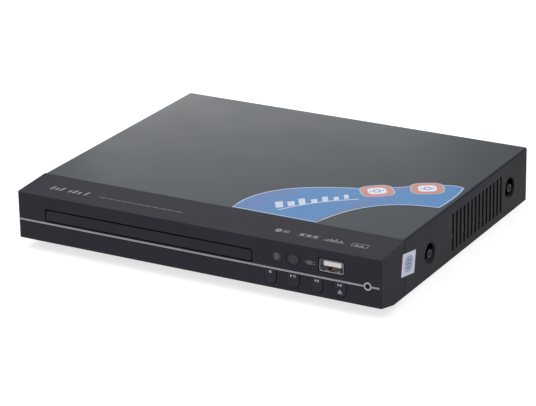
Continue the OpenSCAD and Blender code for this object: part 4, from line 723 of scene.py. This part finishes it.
class PLAYER_OT_stage(bpy.types.Operator):
    """Floor, room light, soft lamp, and the camera at the photograph's viewing angle"""

    bl_idname = "player.stage"
    bl_label = "Stage"

    def execute(self, context):
        stage = context.scene.player_stage
        floor = piece("floor", None, None, [slab(circle(3000, 64), -4, -0.02)], look="chip_plastic")
        floor.data.materials.clear()
        floor.data.materials.append(self.floor_look(stage))
        self.room_light(context.scene, stage)
        wide = (stage.lamp_size, stage.lamp_size)
        self.lamp("soft_lamp", stage.lamp_power, wide, azimuth=-25, elevation=62, distance=1.5, aim=stage.aim)
        self.lamp("low_back_lamp", stage.back_power, (0.3, 0.12), azimuth=210, elevation=8, distance=0.5, aim=0.03)
        camera = bpy.data.cameras.new("camera")
        camera.lens = 164.618
        camera.sensor_width = 36
        camera.sensor_fit = "HORIZONTAL"
        camera.clip_end = 20
        viewer = bpy.data.objects.new("camera", camera)
        aim = (0.0022106, -0.018508, stage.aim)
        self.place(viewer, azimuth=29.3537, elevation=20.9785, roll=-1.0008, distance=1.3734, aim=aim)
        context.scene.camera = viewer
        context.scene.view_settings.view_transform = "Standard"
        return {"FINISHED"}

    def lamp(self, name, power, sides, azimuth, elevation, distance, aim):
        """A soft rectangular lamp that faces the height aim above the middle of the floor."""
        lamp = bpy.data.lights.new(name, "AREA")
        lamp.shape = "RECTANGLE"
        lamp.size, lamp.size_y = sides
        lamp.energy = power
        holder = bpy.data.objects.new(name, lamp)
        holder.visible_camera = False
        self.place(holder, azimuth, elevation, 0, distance, (0, 0, aim))

    def place(self, holder, azimuth, elevation, roll, distance, aim):
        """Sets a camera or lamp at a distance from its aim, seen from that azimuth and elevation in degrees."""
        azimuth, elevation, roll = np.radians([azimuth, elevation, roll])
        flat = math.cos(elevation)
        back = np.array([math.sin(azimuth) * flat, -math.cos(azimuth) * flat, math.sin(elevation)])
        side = np.cross(-back, UP)
        side /= np.linalg.norm(side)
        rise = np.cross(side, -back)
        frame = np.eye(4)
        frame[:3, 0] = side * math.cos(roll) + rise * math.sin(roll)
        frame[:3, 1] = rise * math.cos(roll) - side * math.sin(roll)
        frame[:3, 2] = back
        frame[:3, 3] = np.array(aim) + distance * back
        holder.matrix_world = frame.T
        bpy.context.scene.collection.objects.link(holder)

    def seen(self, tree):
        """1 where a camera, a gloss or a clear piece looks, and 0 where light is gathered."""
        path = add(tree, "LightPath").outputs
        gloss = {0: path["Is Glossy Ray"], 1: path["Is Transmission Ray"]}
        gloss = add(tree, "Math", gloss, operation="MAXIMUM").outputs[0]
        return add(tree, "Math", {0: path["Is Camera Ray"], 1: gloss}, operation="MAXIMUM").outputs[0]

    def floor_look(self, stage):
        """Matt pale board that keeps the object's shadow; white is added only where it is seen."""
        material, tree = blank_material("matt_pale_board")
        lift = add(tree, "Math", {0: self.seen(tree), 1: stage.floor_lift}, operation="MULTIPLY").outputs[0]
        board = add(tree, "BsdfPrincipled", {
            "Base Color": stage.floor_colour, "Roughness": 0.9, "Specular IOR Level": 0.0,
            "Emission Color": (1, 1, 1, 1), "Emission Strength": lift,
        })
        add(tree, "OutputMaterial", {"Surface": board.outputs["BSDF"]})
        return material

    def room_light(self, scene, stage):
        """Even pale light from all round, shown as white."""
        world = bpy.data.worlds.new("room")
        world.use_nodes = True
        tree = world.node_tree
        tree.nodes.clear()
        strength = between(tree, self.seen(tree), stage.sky, 1.0, 0.0, 1.0)
        sky = add(tree, "Background", {"Color": (1, 1, 1, 1), "Strength": strength})
        add(tree, "OutputWorld", {"Surface": sky.outputs["Background"]})
        scene.world = world


class PLAYER_OT_cabinet(bpy.types.Operator):
    """Folded cover, pan, rear panel and feet"""

    bl_idname = "player.cabinet"
    bl_label = "Cabinet"

    def execute(self, context):
        cabinet = context.scene.player_cabinet
        softened("top_cover", cabinet.edge)
        softened("rubber_feet", 2 * cabinet.edge)
        dress("bottom_chassis", "rear_panel")
        return {"FINISHED"}


class PLAYER_OT_bezel(bpy.types.Operator):
    """Moulded bezel, silver stripe, lamp ring, indicator and infrared window"""

    bl_idname = "player.bezel"
    bl_label = "Bezel and trim"

    def execute(self, context):
        softened("front_bezel", context.scene.player_cabinet.bezel_edge)
        softened("lamp_ring", 0.00018)
        dress("stripe_trim", "power_lamp", "ir_window", "indicator_lens")
        return {"FINISHED"}


class PLAYER_OT_buttons(bpy.types.Operator):
    """Four buttons with generic transport signs"""

    bl_idname = "player.buttons"
    bl_label = "Buttons"

    def execute(self, context):
        edge = context.scene.player_cabinet.button_edge
        pair = [(triangle(1.25, 1.7), (-0.75, 0)), (triangle(1.25, 1.7), (0.75, 0))]
        back = [(triangle(1.25, 1.7, -1), (-0.75, 0)), (triangle(1.25, 1.7, -1), (0.75, 0))]
        pause = [(triangle(1.4, 1.8), (-1.1, 0)), (bar(0.4, 1.6), (0.35, 0)), (bar(0.4, 1.6), (1.15, 0))]
        lid = np.array([(-1.25, -0.1), (1.25, -0.1), (0, 1.2)])
        eject = [(lid, (0, -3.9)), (bar(2.5, 0.5), (0, -4.6))]
        signs = {
            "stop_button": [(bar(1.4, 1.4), (0, 0))], "play_button": pause, "skip_button": back,
            "eject_button": pair + eject,
        }
        for node, outlines in signs.items():
            softened(node, edge)
            spot = [middle(node)[0], box(node)[0][1], box(node)[0][2] + 6.6]
            piece(node + "_sign", node, "button_plastic", printed(outlines, spot), "icon_ink")
        return {"FINISHED"}


class PLAYER_OT_socket(bpy.types.Operator):
    """Data socket: nickel shell, white tongue with gilt contacts, and the springs in the shell"""

    bl_idname = "player.socket"
    bl_label = "Data socket"

    def execute(self, context):
        softened("socket_shell", 0.00012)
        dress("socket_tongue")
        shell, x = box("socket_shell")[0], middle("socket_tongue")[0]
        under = middle("socket_shell")[2] - 0.5
        front, back = box("socket_tongue")[:, 1] + (0.15, -1.2)
        ribs = [
            block(x + 2.4 * i, (front + back) / 2, 1.1, back - front, under - 0.05, under + 0.25)
            for i in (-1.5, -0.5, 0.5, 1.5)
        ]
        piece("socket_contacts", "chassis", "tongue_plastic", ribs, "contact_gold", edge=0.04)
        run = np.linspace(0, 1, 12)
        arch = np.column_stack([0 * run, shell[1] + 1.2 + 6 * run, shell[2] + 0.48 + 0.55 * np.sin(np.pi * run)])
        springs = [carried(arch + (x + side, 0, 0), rounded(1.8, 0.22, 0.1, 3)) for side in (-3.6, 3.6)]
        piece("socket_springs", "chassis", "socket_steel", springs)
        return {"FINISHED"}


class PLAYER_OT_label(bpy.types.Operator):
    """Top label with its border, slanted bars and two badges, and the small side sticker"""

    bl_idname = "player.label"
    bl_label = "Label and sticker"

    def execute(self, context):
        width = context.scene.player_prints.border_width * 1000
        dress("top_label")
        high = box("top_label")[1][2]
        curves = [bezier([(RIGHT_X + x, SEAM_Y + y) for x, y in ends]) for ends in self.outline()]
        last = np.array([self.outline()[3][3]]) + (RIGHT_X, SEAM_Y)
        border = self.on_top(np.concatenate([*curves, last]), -width, -0.05, high, 0.03, closed=True)
        self.stuck("label_border", [border], "border_ink")
        inner = self.on_top(np.concatenate([curves[3][8:], last]), -width - 1.5, -width + 0.05, high, 0.025)
        self.stuck("label_inner_line", [inner], "double_line_ink")
        self.bars(high)
        for name, spot, turn in (("label_badge_left", (67.5, -12.5), 38), ("label_badge_right", (90.5, 3.2), 30)):
            self.badge(name, [*spot, high], math.radians(turn))
        self.sticker()
        return {"FINISHED"}

    def stuck(self, name, shapes, look):
        """A printed layer that rides on the case."""
        piece(name, "chassis", "label_film", shapes, look)

    def outline(self):
        """The label's four cubic sides, from the seam and the right side."""
        return (
            ((-104.5, 0.8), (-107, 30), (-90, 46), (-55.6, 57.2)),
            ((-55.6, 57.2), (-38, 64), (-16, 90), (-4.2, 82.8)),
            ((-4.2, 82.8), (-2, 74), (-2.2, 58), (-3.8, 49)),
            ((-3.8, 49), (-34, 46.5), (-46.5, 28), (-52.5, 0.8)),
        )

    def on_top(self, path, near, far, high, thick, closed=False):
        """A flat band beside a path on the label, from near to far on the path's left."""
        path = np.column_stack([path, np.full(len(path), high)])
        return carried(path, [(near, SUNK), (far, SUNK), (far, thick), (near, thick)], closed=closed)

    def bars(self, high):
        """Seven pale leaning bars that shrink along a rising line, over a thin arc."""
        start, way = np.array([31.0, -56.0]), np.array([0.685, 0.729])
        rise = np.array([-way[1], way[0]])
        marks = []
        for i, (along, tall) in enumerate(zip((0, 6.5, 13, 19.5, 26, 32, 38), (8.6, 6.6, 8.6, 5.4, 7.0, 4.6, 5.8))):
            spot = start + way * along + rise * (tall / 2 - 2)
            ink_bar = slab(bar(4.4 - 0.3 * i, tall, 0.25), -0.05, 0.035)
            marks.append(moved(ink_bar, [*spot, high], [*way, 0], [*rise, 0]))
        self.stuck("label_bars", marks, "bar_ink")
        run = np.linspace(0, 1, 24)[:, None]
        arc = start + way * (46 * run - 3) + rise * (-5 + 3.0 * np.sin(np.pi * run))
        self.stuck("label_arc", [self.on_top(arc, -0.5, 0.5, high, 0.03)], "bar_ink")

    def badge(self, name, spot, turn):
        """A badge of three stacked round-cornered squares: pale edge, salmon field, white middle with a ring."""
        a, b = [math.cos(turn), math.sin(turn), 0], [-math.sin(turn), math.cos(turn), 0]
        for part, side, radius, low, top, look in (
            ("edge", 19.0, 6.0, TOP_Z - 0.02 - spot[2], 0.05, "border_ink"),
            ("field", 17.4, 5.4, 0.0, 0.08, "badge_ink"),
            ("middle", 10.2, 3.0, 0.03, 0.11, "white_ink"),
        ):
            layer = slab(rounded(side, side * 0.94, radius, 7), low, top)
            self.stuck(f"{name}_{part}", [moved(layer, spot, a, b)], look)
        ticks = [slab(bar(0.7, 1.5) + offset, 0.06, 0.135) for offset in ((-3.4, 0), (3.4, 0))]
        signs = [moved(shape, spot, a, b) for shape in (ring(1.5, 2.3, 0.06, 0.135, 24), *ticks)]
        self.stuck(name + "_sign", signs, "violet_ink")

    def sticker(self):
        """A small paper seal across the seam on the right side, with a pale blue field and three short bars."""
        turn = math.radians(-9.5)
        a, b = [0, math.cos(turn), math.sin(turn)], [0, -math.sin(turn), math.cos(turn)]
        layers = {
            "seal_paper": ("sticker_paper", -0.02, 0.08, [(rounded(15.6, 12.6, 0.4), (0, 0))]),
            "seal_field": ("seal_ink", 0.02, 0.1, [(rounded(9.5, 9.0, 3.4, 8), (0, 0))]),
            "seal_marks": ("violet_ink", 0.05, 0.12, [
                (rounded(wide, 0.8, 0.35), spot)
                for wide, spot in ((4.2, (0.2, 2.0)), (5.2, (0, 0)), (3.4, (-0.3, -2.0)))
            ]),
        }
        for name, (look, low, high, outlines) in layers.items():
            shapes = [slab(outline + offset, low, high) for outline, offset in outlines]
            self.stuck(name, [moved(shape, [RIGHT_X, -65.6, 20.6], a, b) for shape in shapes], look)


class PLAYER_OT_marks(bpy.types.Operator):
    """Generic printed signs on the bezel's sloping top and beside the data socket"""

    bl_idname = "player.marks"
    bl_label = "Printed marks"

    def execute(self, context):
        places, heights = (-96.5, -93.5, -90.5, -85, -82, -79, -74.5), (4.2, 3.0, 4.2, 3.0, 4.2, 3.0, 4.2)
        bars = [(bar(1.5, tall, 0.3), (x, -17.6 + tall / 2)) for x, tall in zip(places, heights)]
        dashes = [(bar(0.45 + 0.25 * (i * 7 % 3), 0.8), (-66.2 + 1.6 * i, -16.2)) for i in range(34)]
        lines = [(bar(3.6, 0.45), (50.6, -14.6 - 0.95 * i)) for i in range(3)]
        film = [(bar(2.6, 1.9), (60.2 + 3.9 * i, -15.6)) for i in range(3)]
        film += [(bar(0.55, 0.4), (58.6 + 1.13 * i, -15.6 + side)) for i in range(11) for side in (-1.75, 1.75)]
        levels = [
            (bar(0.85, h), (74.0 + 1.5 * i, -17.4 + h / 2))
            for i, h in enumerate((1.2, 2.2, 3.4, 2.6, 3.8, 2.0, 3.0, 1.6))
        ]
        hills = ([(-3.2, -1.2), (-0.2, -1.2), (-1.7, 0.9)], [(-0.6, -1.2), (3.2, -1.2), (1.4, 0.3)])
        frame = [(bar(9.4, 0.4), (94.2, y)) for y in (-13.9, -17.5)]
        frame += [(bar(0.4, 3.4), (x, -15.7)) for x in (89.7, 98.7)] + [(hill, (94.2, -15.7)) for hill in hills]
        spot = [0, SEAM_Y, TOP_Z]
        eye = moved(ring(0.55, 1.9, -0.05, 0.03, 32), spot + 46.0 * RIGHT - 15.6 * FACET_BACK, RIGHT, FACET_BACK)
        signs = dict(
            facet_bars=bars, facet_dashes=dashes, sign_disc=lines, sign_film=film, sign_levels=levels,
            sign_frame=frame,
        )
        for name, outlines in signs.items():
            shapes = printed(outlines, spot, RIGHT, FACET_BACK) + [eye] * (name == "sign_disc")
            piece(name, "chassis", "bezel_plastic", shapes, "mark_ink")
        plug = [(bar(3.2, 2.2), (-0.8, 0)), (bar(1.6, 0.45), (-3.4, 0))]
        plug += [(bar(1.7, 0.45), (1.9, z)) for z in (0.6, -0.6)]
        shapes = printed(plug, [71.5, FACE_Y, box("socket_shell")[0][2] + 3.5])
        piece("sign_plug", "chassis", "bezel_plastic", shapes, "faint_ink")
        return {"FINISHED"}


class PLAYER_OT_tray(bpy.types.Operator):
    """Tray with its door"""

    bl_idname = "player.tray"
    bl_label = "Tray"

    def execute(self, context):
        cabinet = context.scene.player_cabinet
        softened("tray_door", cabinet.bezel_edge)
        softened("disc_tray", cabinet.button_edge)
        return {"FINISHED"}


class PLAYER_OT_loader(bpy.types.Operator):
    """Loader frame, clamp, gear train, belt and motor"""

    bl_idname = "player.loader"
    bl_label = "Loader and gear train"

    def execute(self, context):
        dress(
            "loader_frame", "clamp_bridge", "clamp_puck", "clamp_magnet", "drive_gear", "pulley_gear",
            "motor_pulley", "drive_belt", "loading_motor", "cam_slider",
        )
        (x, y, _), low = middle("loading_motor"), box("loading_motor")[0][2]
        under = moved(ring(3.2, 9.6, 0, 0.25), [x, y, low - 0.25])
        tabs = [block(x + side, y - 7.4, 1.4, 0.4, low - 1.3, low) for side in (-3, 3)]
        piece("loading_motor_end", "chassis", "motor_can", [under], "switch_plastic")
        piece("loading_motor_tabs", "chassis", "motor_can", tabs, "pin_brass")
        return {"FINISHED"}


class PLAYER_OT_drive(bpy.types.Operator):
    """Disc drive: deck, rods, motors, turntable, pickup and the threaded lead screw"""

    bl_idname = "player.drive"
    bl_label = "Disc drive"

    def execute(self, context):
        dress(
            "lift_frame", "traverse_deck", "damper_bushes", "guide_rods", "spindle_motor", "turntable",
            "pickup_body", "pickup_lens", "lead_screw", "sled_motor",
        )
        self.thread(context.scene.player_inside.thread_lead * 1000)
        pad = moved(ring(10.2, 14.6, -0.05, 0.12, 64), [*middle("turntable")[:2], box("turntable")[1][2] - 1.69])
        piece("turntable_pad", "turntable", "puck_plastic", [pad], "felt_pad")
        (x, y, _), top = middle("pickup_lens"), box("pickup_lens")[1][2]
        loop = rounded(7.0, 2.6, 1.2, 6)
        loop = np.column_stack([loop, np.full(len(loop), top - 2.2)])
        coils = [carried(loop + (x, y + side, 0), circle(0.55, 8), closed=True) for side in (-6.2, 6.2)]
        piece("actuator_coils", "pickup", "pickup_alloy", coils, "copper_wire")
        return {"FINISHED"}

    def thread(self, lead, plain=6.0):
        """The screw's ridge: a four-sided section of (sideways, outwards) points carried up a helix of that lead,
        with plain ends. Outwards is straight away from the axis, and sideways is that crossed with the way of
        travel."""
        low, high = box("lead_screw")
        x, _, z = middle("lead_screw")
        turns = (high[1] - low[1] - 2 * plain) / lead
        turn = np.linspace(0, 2 * np.pi * turns, int(turns * 20))
        outward = np.column_stack([np.cos(turn), 0 * turn, np.sin(turn)])
        path = (high[0] - low[0]) / 2 * outward + (x, low[1] + plain, z)
        path[:, 1] += lead * turn / (2 * np.pi)
        way = np.gradient(path, axis=0)
        side = np.cross(outward, way / np.linalg.norm(way, axis=1, keepdims=True))
        section = np.array([(-0.4, -0.12), (0.4, -0.12), (0.15, 0.16), (-0.15, 0.16)])
        ridge = skin(path[:, None] + section[:, :1] * side[:, None] + section[:, 1:] * outward[:, None])
        piece("lead_screw_thread", "lead_screw", "rod_steel", [ridge], recalculate=True)


class PLAYER_OT_boards(bpy.types.Operator):
    """Circuit boards with their parts"""

    bl_idname = "player.boards"
    bl_label = "Boards"

    # Middles of the square chip and the two smaller ones, from the main board's front left corner
    CHIP, DRIVER, MEMORY = (30, 34), (50, 26), (11, 23)

    def execute(self, context):
        dress(
            "front_board", "button_switches", "ir_receiver", "main_board", "power_board", "av_board",
            "standoffs", "decoder_chip", "heat_sink", "board_capacitors", "board_connectors",
        )
        x0, y0, _ = box("main_board")[0]
        top = box("main_board")[1][2]
        self.chip_legs(x0, y0, top)
        self.small_parts(x0, y0, top)
        self.capacitor_tops(x0, y0, box("power_board")[0][1], top)
        self.transformer()
        self.fuse()
        return {"FINISHED"}

    def chip_legs(self, x0, y0, top):
        """Legs round the square chip and along both sides of the two smaller ones, as rows of short blocks."""
        spots = []
        x, y = self.CHIP
        for i in np.arange(-8.8, 8.9, 0.8).tolist():
            for side in (-10.6, 10.6):
                spots += [(x + i, y + side, 0.36, 1.5), (x + side, y + i, 1.5, 0.36)]
        for (x, y), wide, count in ((self.DRIVER, 8, 9), (self.MEMORY, 6, 7)):
            for i in range(count):
                for side in (-wide / 2 - 0.5, wide / 2 + 0.5):
                    spots.append((x + side, y + (i - (count - 1) / 2) * 1.2, 1.2, 0.4))
        legs = [block(x0 + x, y0 + y, wide, deep, top + 0.02, top + 0.35) for x, y, wide, deep in spots]
        piece("chip_legs", "chassis", "chip_plastic", legs, "fuse_cap")

    def small_parts(self, x0, y0, top):
        """Chip resistors and capacitors on a jittered grid that keeps clear of the larger parts."""
        random = np.random.default_rng(7)
        spots = np.stack(np.meshgrid(np.arange(8, 56, 4.0), np.arange(22, 56, 3.2)), -1).reshape(-1, 2)
        spots = spots + random.uniform(-0.7, 0.7, spots.shape)
        clear = np.ones(len(spots), bool)
        capacitors = (((50, 44), (5, 5)), ((12, 42), (4, 4)), ((12, 56), (6, 6)))
        for spot, room in ((self.CHIP, (13, 13)), (self.DRIVER, (6, 8)), (self.MEMORY, (5, 7)), *capacitors):
            clear &= (np.abs(spots - spot) > room).any(1)
        spots = (spots[clear] + (x0, y0)).tolist()
        bodies = [block(x, y, 1.1, 0.84, top, top + 0.5) for x, y in spots]
        ends = [block(x + side, y, 0.4, 0.9, top, top + 0.52) for x, y in spots for side in (-0.75, 0.75)]
        piece("chip_resistors", "chassis", "chip_plastic", bodies)
        piece("chip_resistor_ends", "chassis", "fastener_steel", ends, "fuse_cap")

    def capacitor_tops(self, x0, y0, y1, top):
        """Bright can tops with a rolled rim, seen inside the folded sleeve of each capacitor."""
        back = box("main_board")[1][1]
        tops = []
        for x, y, across, tall in (
            (12, back - 12, 8, 11), (24, back - 10, 6.3, 9), (40, back - 8, 6.3, 9), (50, y0 + 44, 6.3, 9),
            (12, y0 + 42, 5, 8), (48, y1 + 42, 8, 12), (48, y1 + 30, 8, 12), (33, y1 + 42, 10, 14),
            (18, y1 + 44, 14, 18),
        ):
            r = across / 2
            rim = [(0, -0.05), (r - 0.35, -0.05), (r - 0.35, 0.12), (r - 0.7, 0.2), (r - 1.0, 0.06), (0, 0.06)]
            tops.append(moved(lathe(rim, 32), [x0 + x, y, top + tall]))
        piece("capacitor_tops", "chassis", "capacitor_sleeve", tops, "capacitor_top")

    def transformer(self):
        """Ferrite core plates with side limbs, round a taped winding."""
        node = ["transformer"]
        (x, y, _), base = middle(*node), box(*node)[0][2]
        deep = np.ptp(box(*node)[:, 1]) - 6
        core = [moved(slab(rounded(22, 20, 1), low, high), [x, y, base]) for low, high in ((0, 3), (15, 18))]
        core += [block(x + side, y, 2.8, deep, base + 2.9, base + 15.1) for side in (-9.6, 9.6)]
        piece("transformer_core", "chassis", "transformer_tape", core, "ferrite", edge=0.3, replaces=node)
        wound = moved(slab(rounded(15.6, 16, 5, 8), 3.02, 14.98), [x, y, base])
        piece("transformer_winding", "chassis", "transformer_tape", [wound], replaces=node)

    def fuse(self):
        """A glass tube between two tinned caps in their clips, with the wire inside."""
        node = ["mains_fuse"]
        (x, y, _), (low, high) = middle(*node), box(*node)[:, 2]
        z = low + 3.6

        def turned(profile):
            """A lathed profile that lies along Y."""
            return moved(lathe(profile, 32), [x, y, z], a=RIGHT, b=DOWN)

        glass = turned([(0, -7.4), (2.35, -7.4), (2.35, 7.4), (0, 7.4)])
        caps = [
            turned([(0, a), (2.3, a), (2.5, a + 0.2), (2.5, b - 0.2), (2.3, b), (0, b)])
            for a, b in ((-11, -7.2), (7.2, 11))
        ]
        clips = [block(x, y + s, 6, 2, low, low + 1.2) for s in (-9, 9)]
        clips += [block(x + t, y + s, 0.5, 2, low, high) for s in (-9, 9) for t in (-2.75, 2.75)]
        piece("fuse_tube", "chassis", "fuse_glass", [glass], replaces=node)
        piece("fuse_caps", "chassis", "fuse_glass", caps, "fuse_cap", replaces=node)
        piece("fuse_clips", "chassis", "fastener_steel", clips, "fuse_cap", replaces=node)
        wire = carried([(x, y - 7, z), (x, y, z - 0.1), (x, y + 7, z)], circle(0.12, 6))
        piece("fuse_wire", "chassis", "fastener_steel", [wire], "fuse_cap")


class PLAYER_OT_cables(bpy.types.Operator):
    """Flat cables, the wires between the boards and the wires from the mains inlet"""

    bl_idname = "player.cables"
    bl_label = "Cables"

    def execute(self, context):
        dress("ribbon_cables")
        self.board_wires(context.scene.player_inside.wire_sag * 1000)
        self.inlet_wires()
        return {"FINISHED"}

    def wire(self, name, path, radius, look, up=UP):
        """A round wire along a path, which stands for the harness."""
        shape = carried(path, circle(radius, 10), up=up)
        piece(name, "chassis", "wire_red", [shape], look, replaces=["wire_harness"])

    def board_wires(self, sag):
        """Four wires that hang as half a sine wave between the boards' plugs, and sway by half a millimetre."""
        low, high = box("main_board")
        y0, y1, z = high[1] - 1, box("power_board")[0][1] + 1, high[2] + 4
        run = np.linspace(0, 1, 17)
        for i, look in enumerate(("wire_red", "wire_black", "wire_yellow", "wire_white")):
            x = low[0] + 23 + 2.6 * i + 0.5 * np.sin(2 * np.pi * run + i)
            hang = sag * np.sin(np.pi * run) * (0.6 + 0.1 * i)
            self.wire(f"board_wire_{i + 1}", np.column_stack([x, y0 + (y1 - y0) * run, z - hang]), 0.7, look)

    def inlet_wires(self):
        """Two wires that leave the inlet's pins level and turn down to the power board by a quadratic curve."""
        pins = box("inlet_pins")
        wall, foot = box("mains_inlet")[0][1], box("power_board")[1][1] - 6
        top, low, bend = pins[:, 2].mean(), box("wire_harness")[0][2], 1.6
        t = np.linspace(0, 1, 8)[:, None]
        for i, (x, look) in enumerate(((pins[0][0] + 1.2, "wire_black"), (pins[1][0] - 1.2, "wire_white"))):
            start, level, corner, drop, end = np.array(
                [(x, wall, top), (x, foot + bend, top), (x, foot, top), (x, foot, top - bend), (x, foot, low)]
            )
            curve = (1 - t) ** 2 * level + 2 * t * (1 - t) * corner + t**2 * drop
            path = np.concatenate([np.linspace(start, level, 4)[:-1], curve, np.linspace(drop, end, 4)[1:]])
            self.wire(f"inlet_wire_{i + 1}", path, 0.95, look, up=RIGHT)


class PLAYER_OT_rear(bpy.types.Operator):
    """Rear sockets with their insulators, and the mains inlet"""

    bl_idname = "player.rear"
    bl_label = "Rear sockets"

    def execute(self, context):
        dress("jack_block", "jack_sleeves", "inlet_pins")
        softened("mains_inlet", 0.0003)
        radius = 4.15
        low, high = box("jack_sleeves")
        columns = np.linspace(low[0] + radius, high[0] - radius, 3).tolist()
        insulator = (ring(1.78, 3.35, -0.4, 0.12, 40), ring(4.2, 5.3, -8.9, -8.25, 40))
        for row, (z, tints) in enumerate((
            (low[2] + radius, ("yellow", "white", "red")), (high[2] - radius, ("black", "white", "red")),
        )):
            for i, (x, tint) in enumerate(zip(columns, tints)):
                shapes = [moved(shape, [x, high[1], z], LEFT, UP) for shape in insulator]
                piece(f"socket_insulator_{row + 1}_{i + 1}", "chassis", "jack_plastic", shapes, "jack_" + tint)
        return {"FINISHED"}


class PLAYER_OT_fasteners(bpy.types.Operator):
    """Screws of the cover, boards and loader"""

    bl_idname = "player.fasteners"
    bl_label = "Screws"

    def execute(self, context):
        dress("cover_screws", "fixing_screws")
        return {"FINISHED"}


class PLAYER_PT_panel(bpy.types.Panel):
    """Lists the player's pieces and their sizes and colours"""

    bl_idname = "PLAYER_PT_panel"
    bl_label = "Disc player"
    bl_space_type = "VIEW_3D"
    bl_region_type = "UI"
    bl_category = "Disc player"

    def draw(self, context):
        for operator in OPERATORS:
            self.layout.operator(operator.bl_idname)
        for name, kind in GROUPS.items():
            area = self.layout.box()
            for value in kind.__annotations__:
                area.prop(getattr(context.scene, name), value)


GROUPS = {
    "player_stage": PlayerStage,
    "player_cabinet": PlayerCabinet,
    "player_prints": PlayerPrints,
    "player_inside": PlayerInside,
}
OPERATORS = (
    PLAYER_OT_stage, PLAYER_OT_cabinet, PLAYER_OT_bezel, PLAYER_OT_buttons, PLAYER_OT_socket, PLAYER_OT_label,
    PLAYER_OT_marks, PLAYER_OT_tray, PLAYER_OT_loader, PLAYER_OT_drive, PLAYER_OT_boards, PLAYER_OT_cables,
    PLAYER_OT_rear, PLAYER_OT_fasteners,
)
CLASSES = (*GROUPS.values(), *OPERATORS, PLAYER_PT_panel)


def register():
    for item in CLASSES:
        bpy.utils.register_class(item)
    for name, group in GROUPS.items():
        setattr(bpy.types.Scene, name, PointerProperty(type=group))


def unregister():
    for name in GROUPS:
        delattr(bpy.types.Scene, name)
    for item in reversed(CLASSES):
        bpy.utils.unregister_class(item)


def main():
    """Makes every group in order."""
    register()
    for operator in OPERATORS:
        group, name = operator.bl_idname.split(".")
        getattr(getattr(bpy.ops, group), name)()


if __name__ == "__main__":
    main()
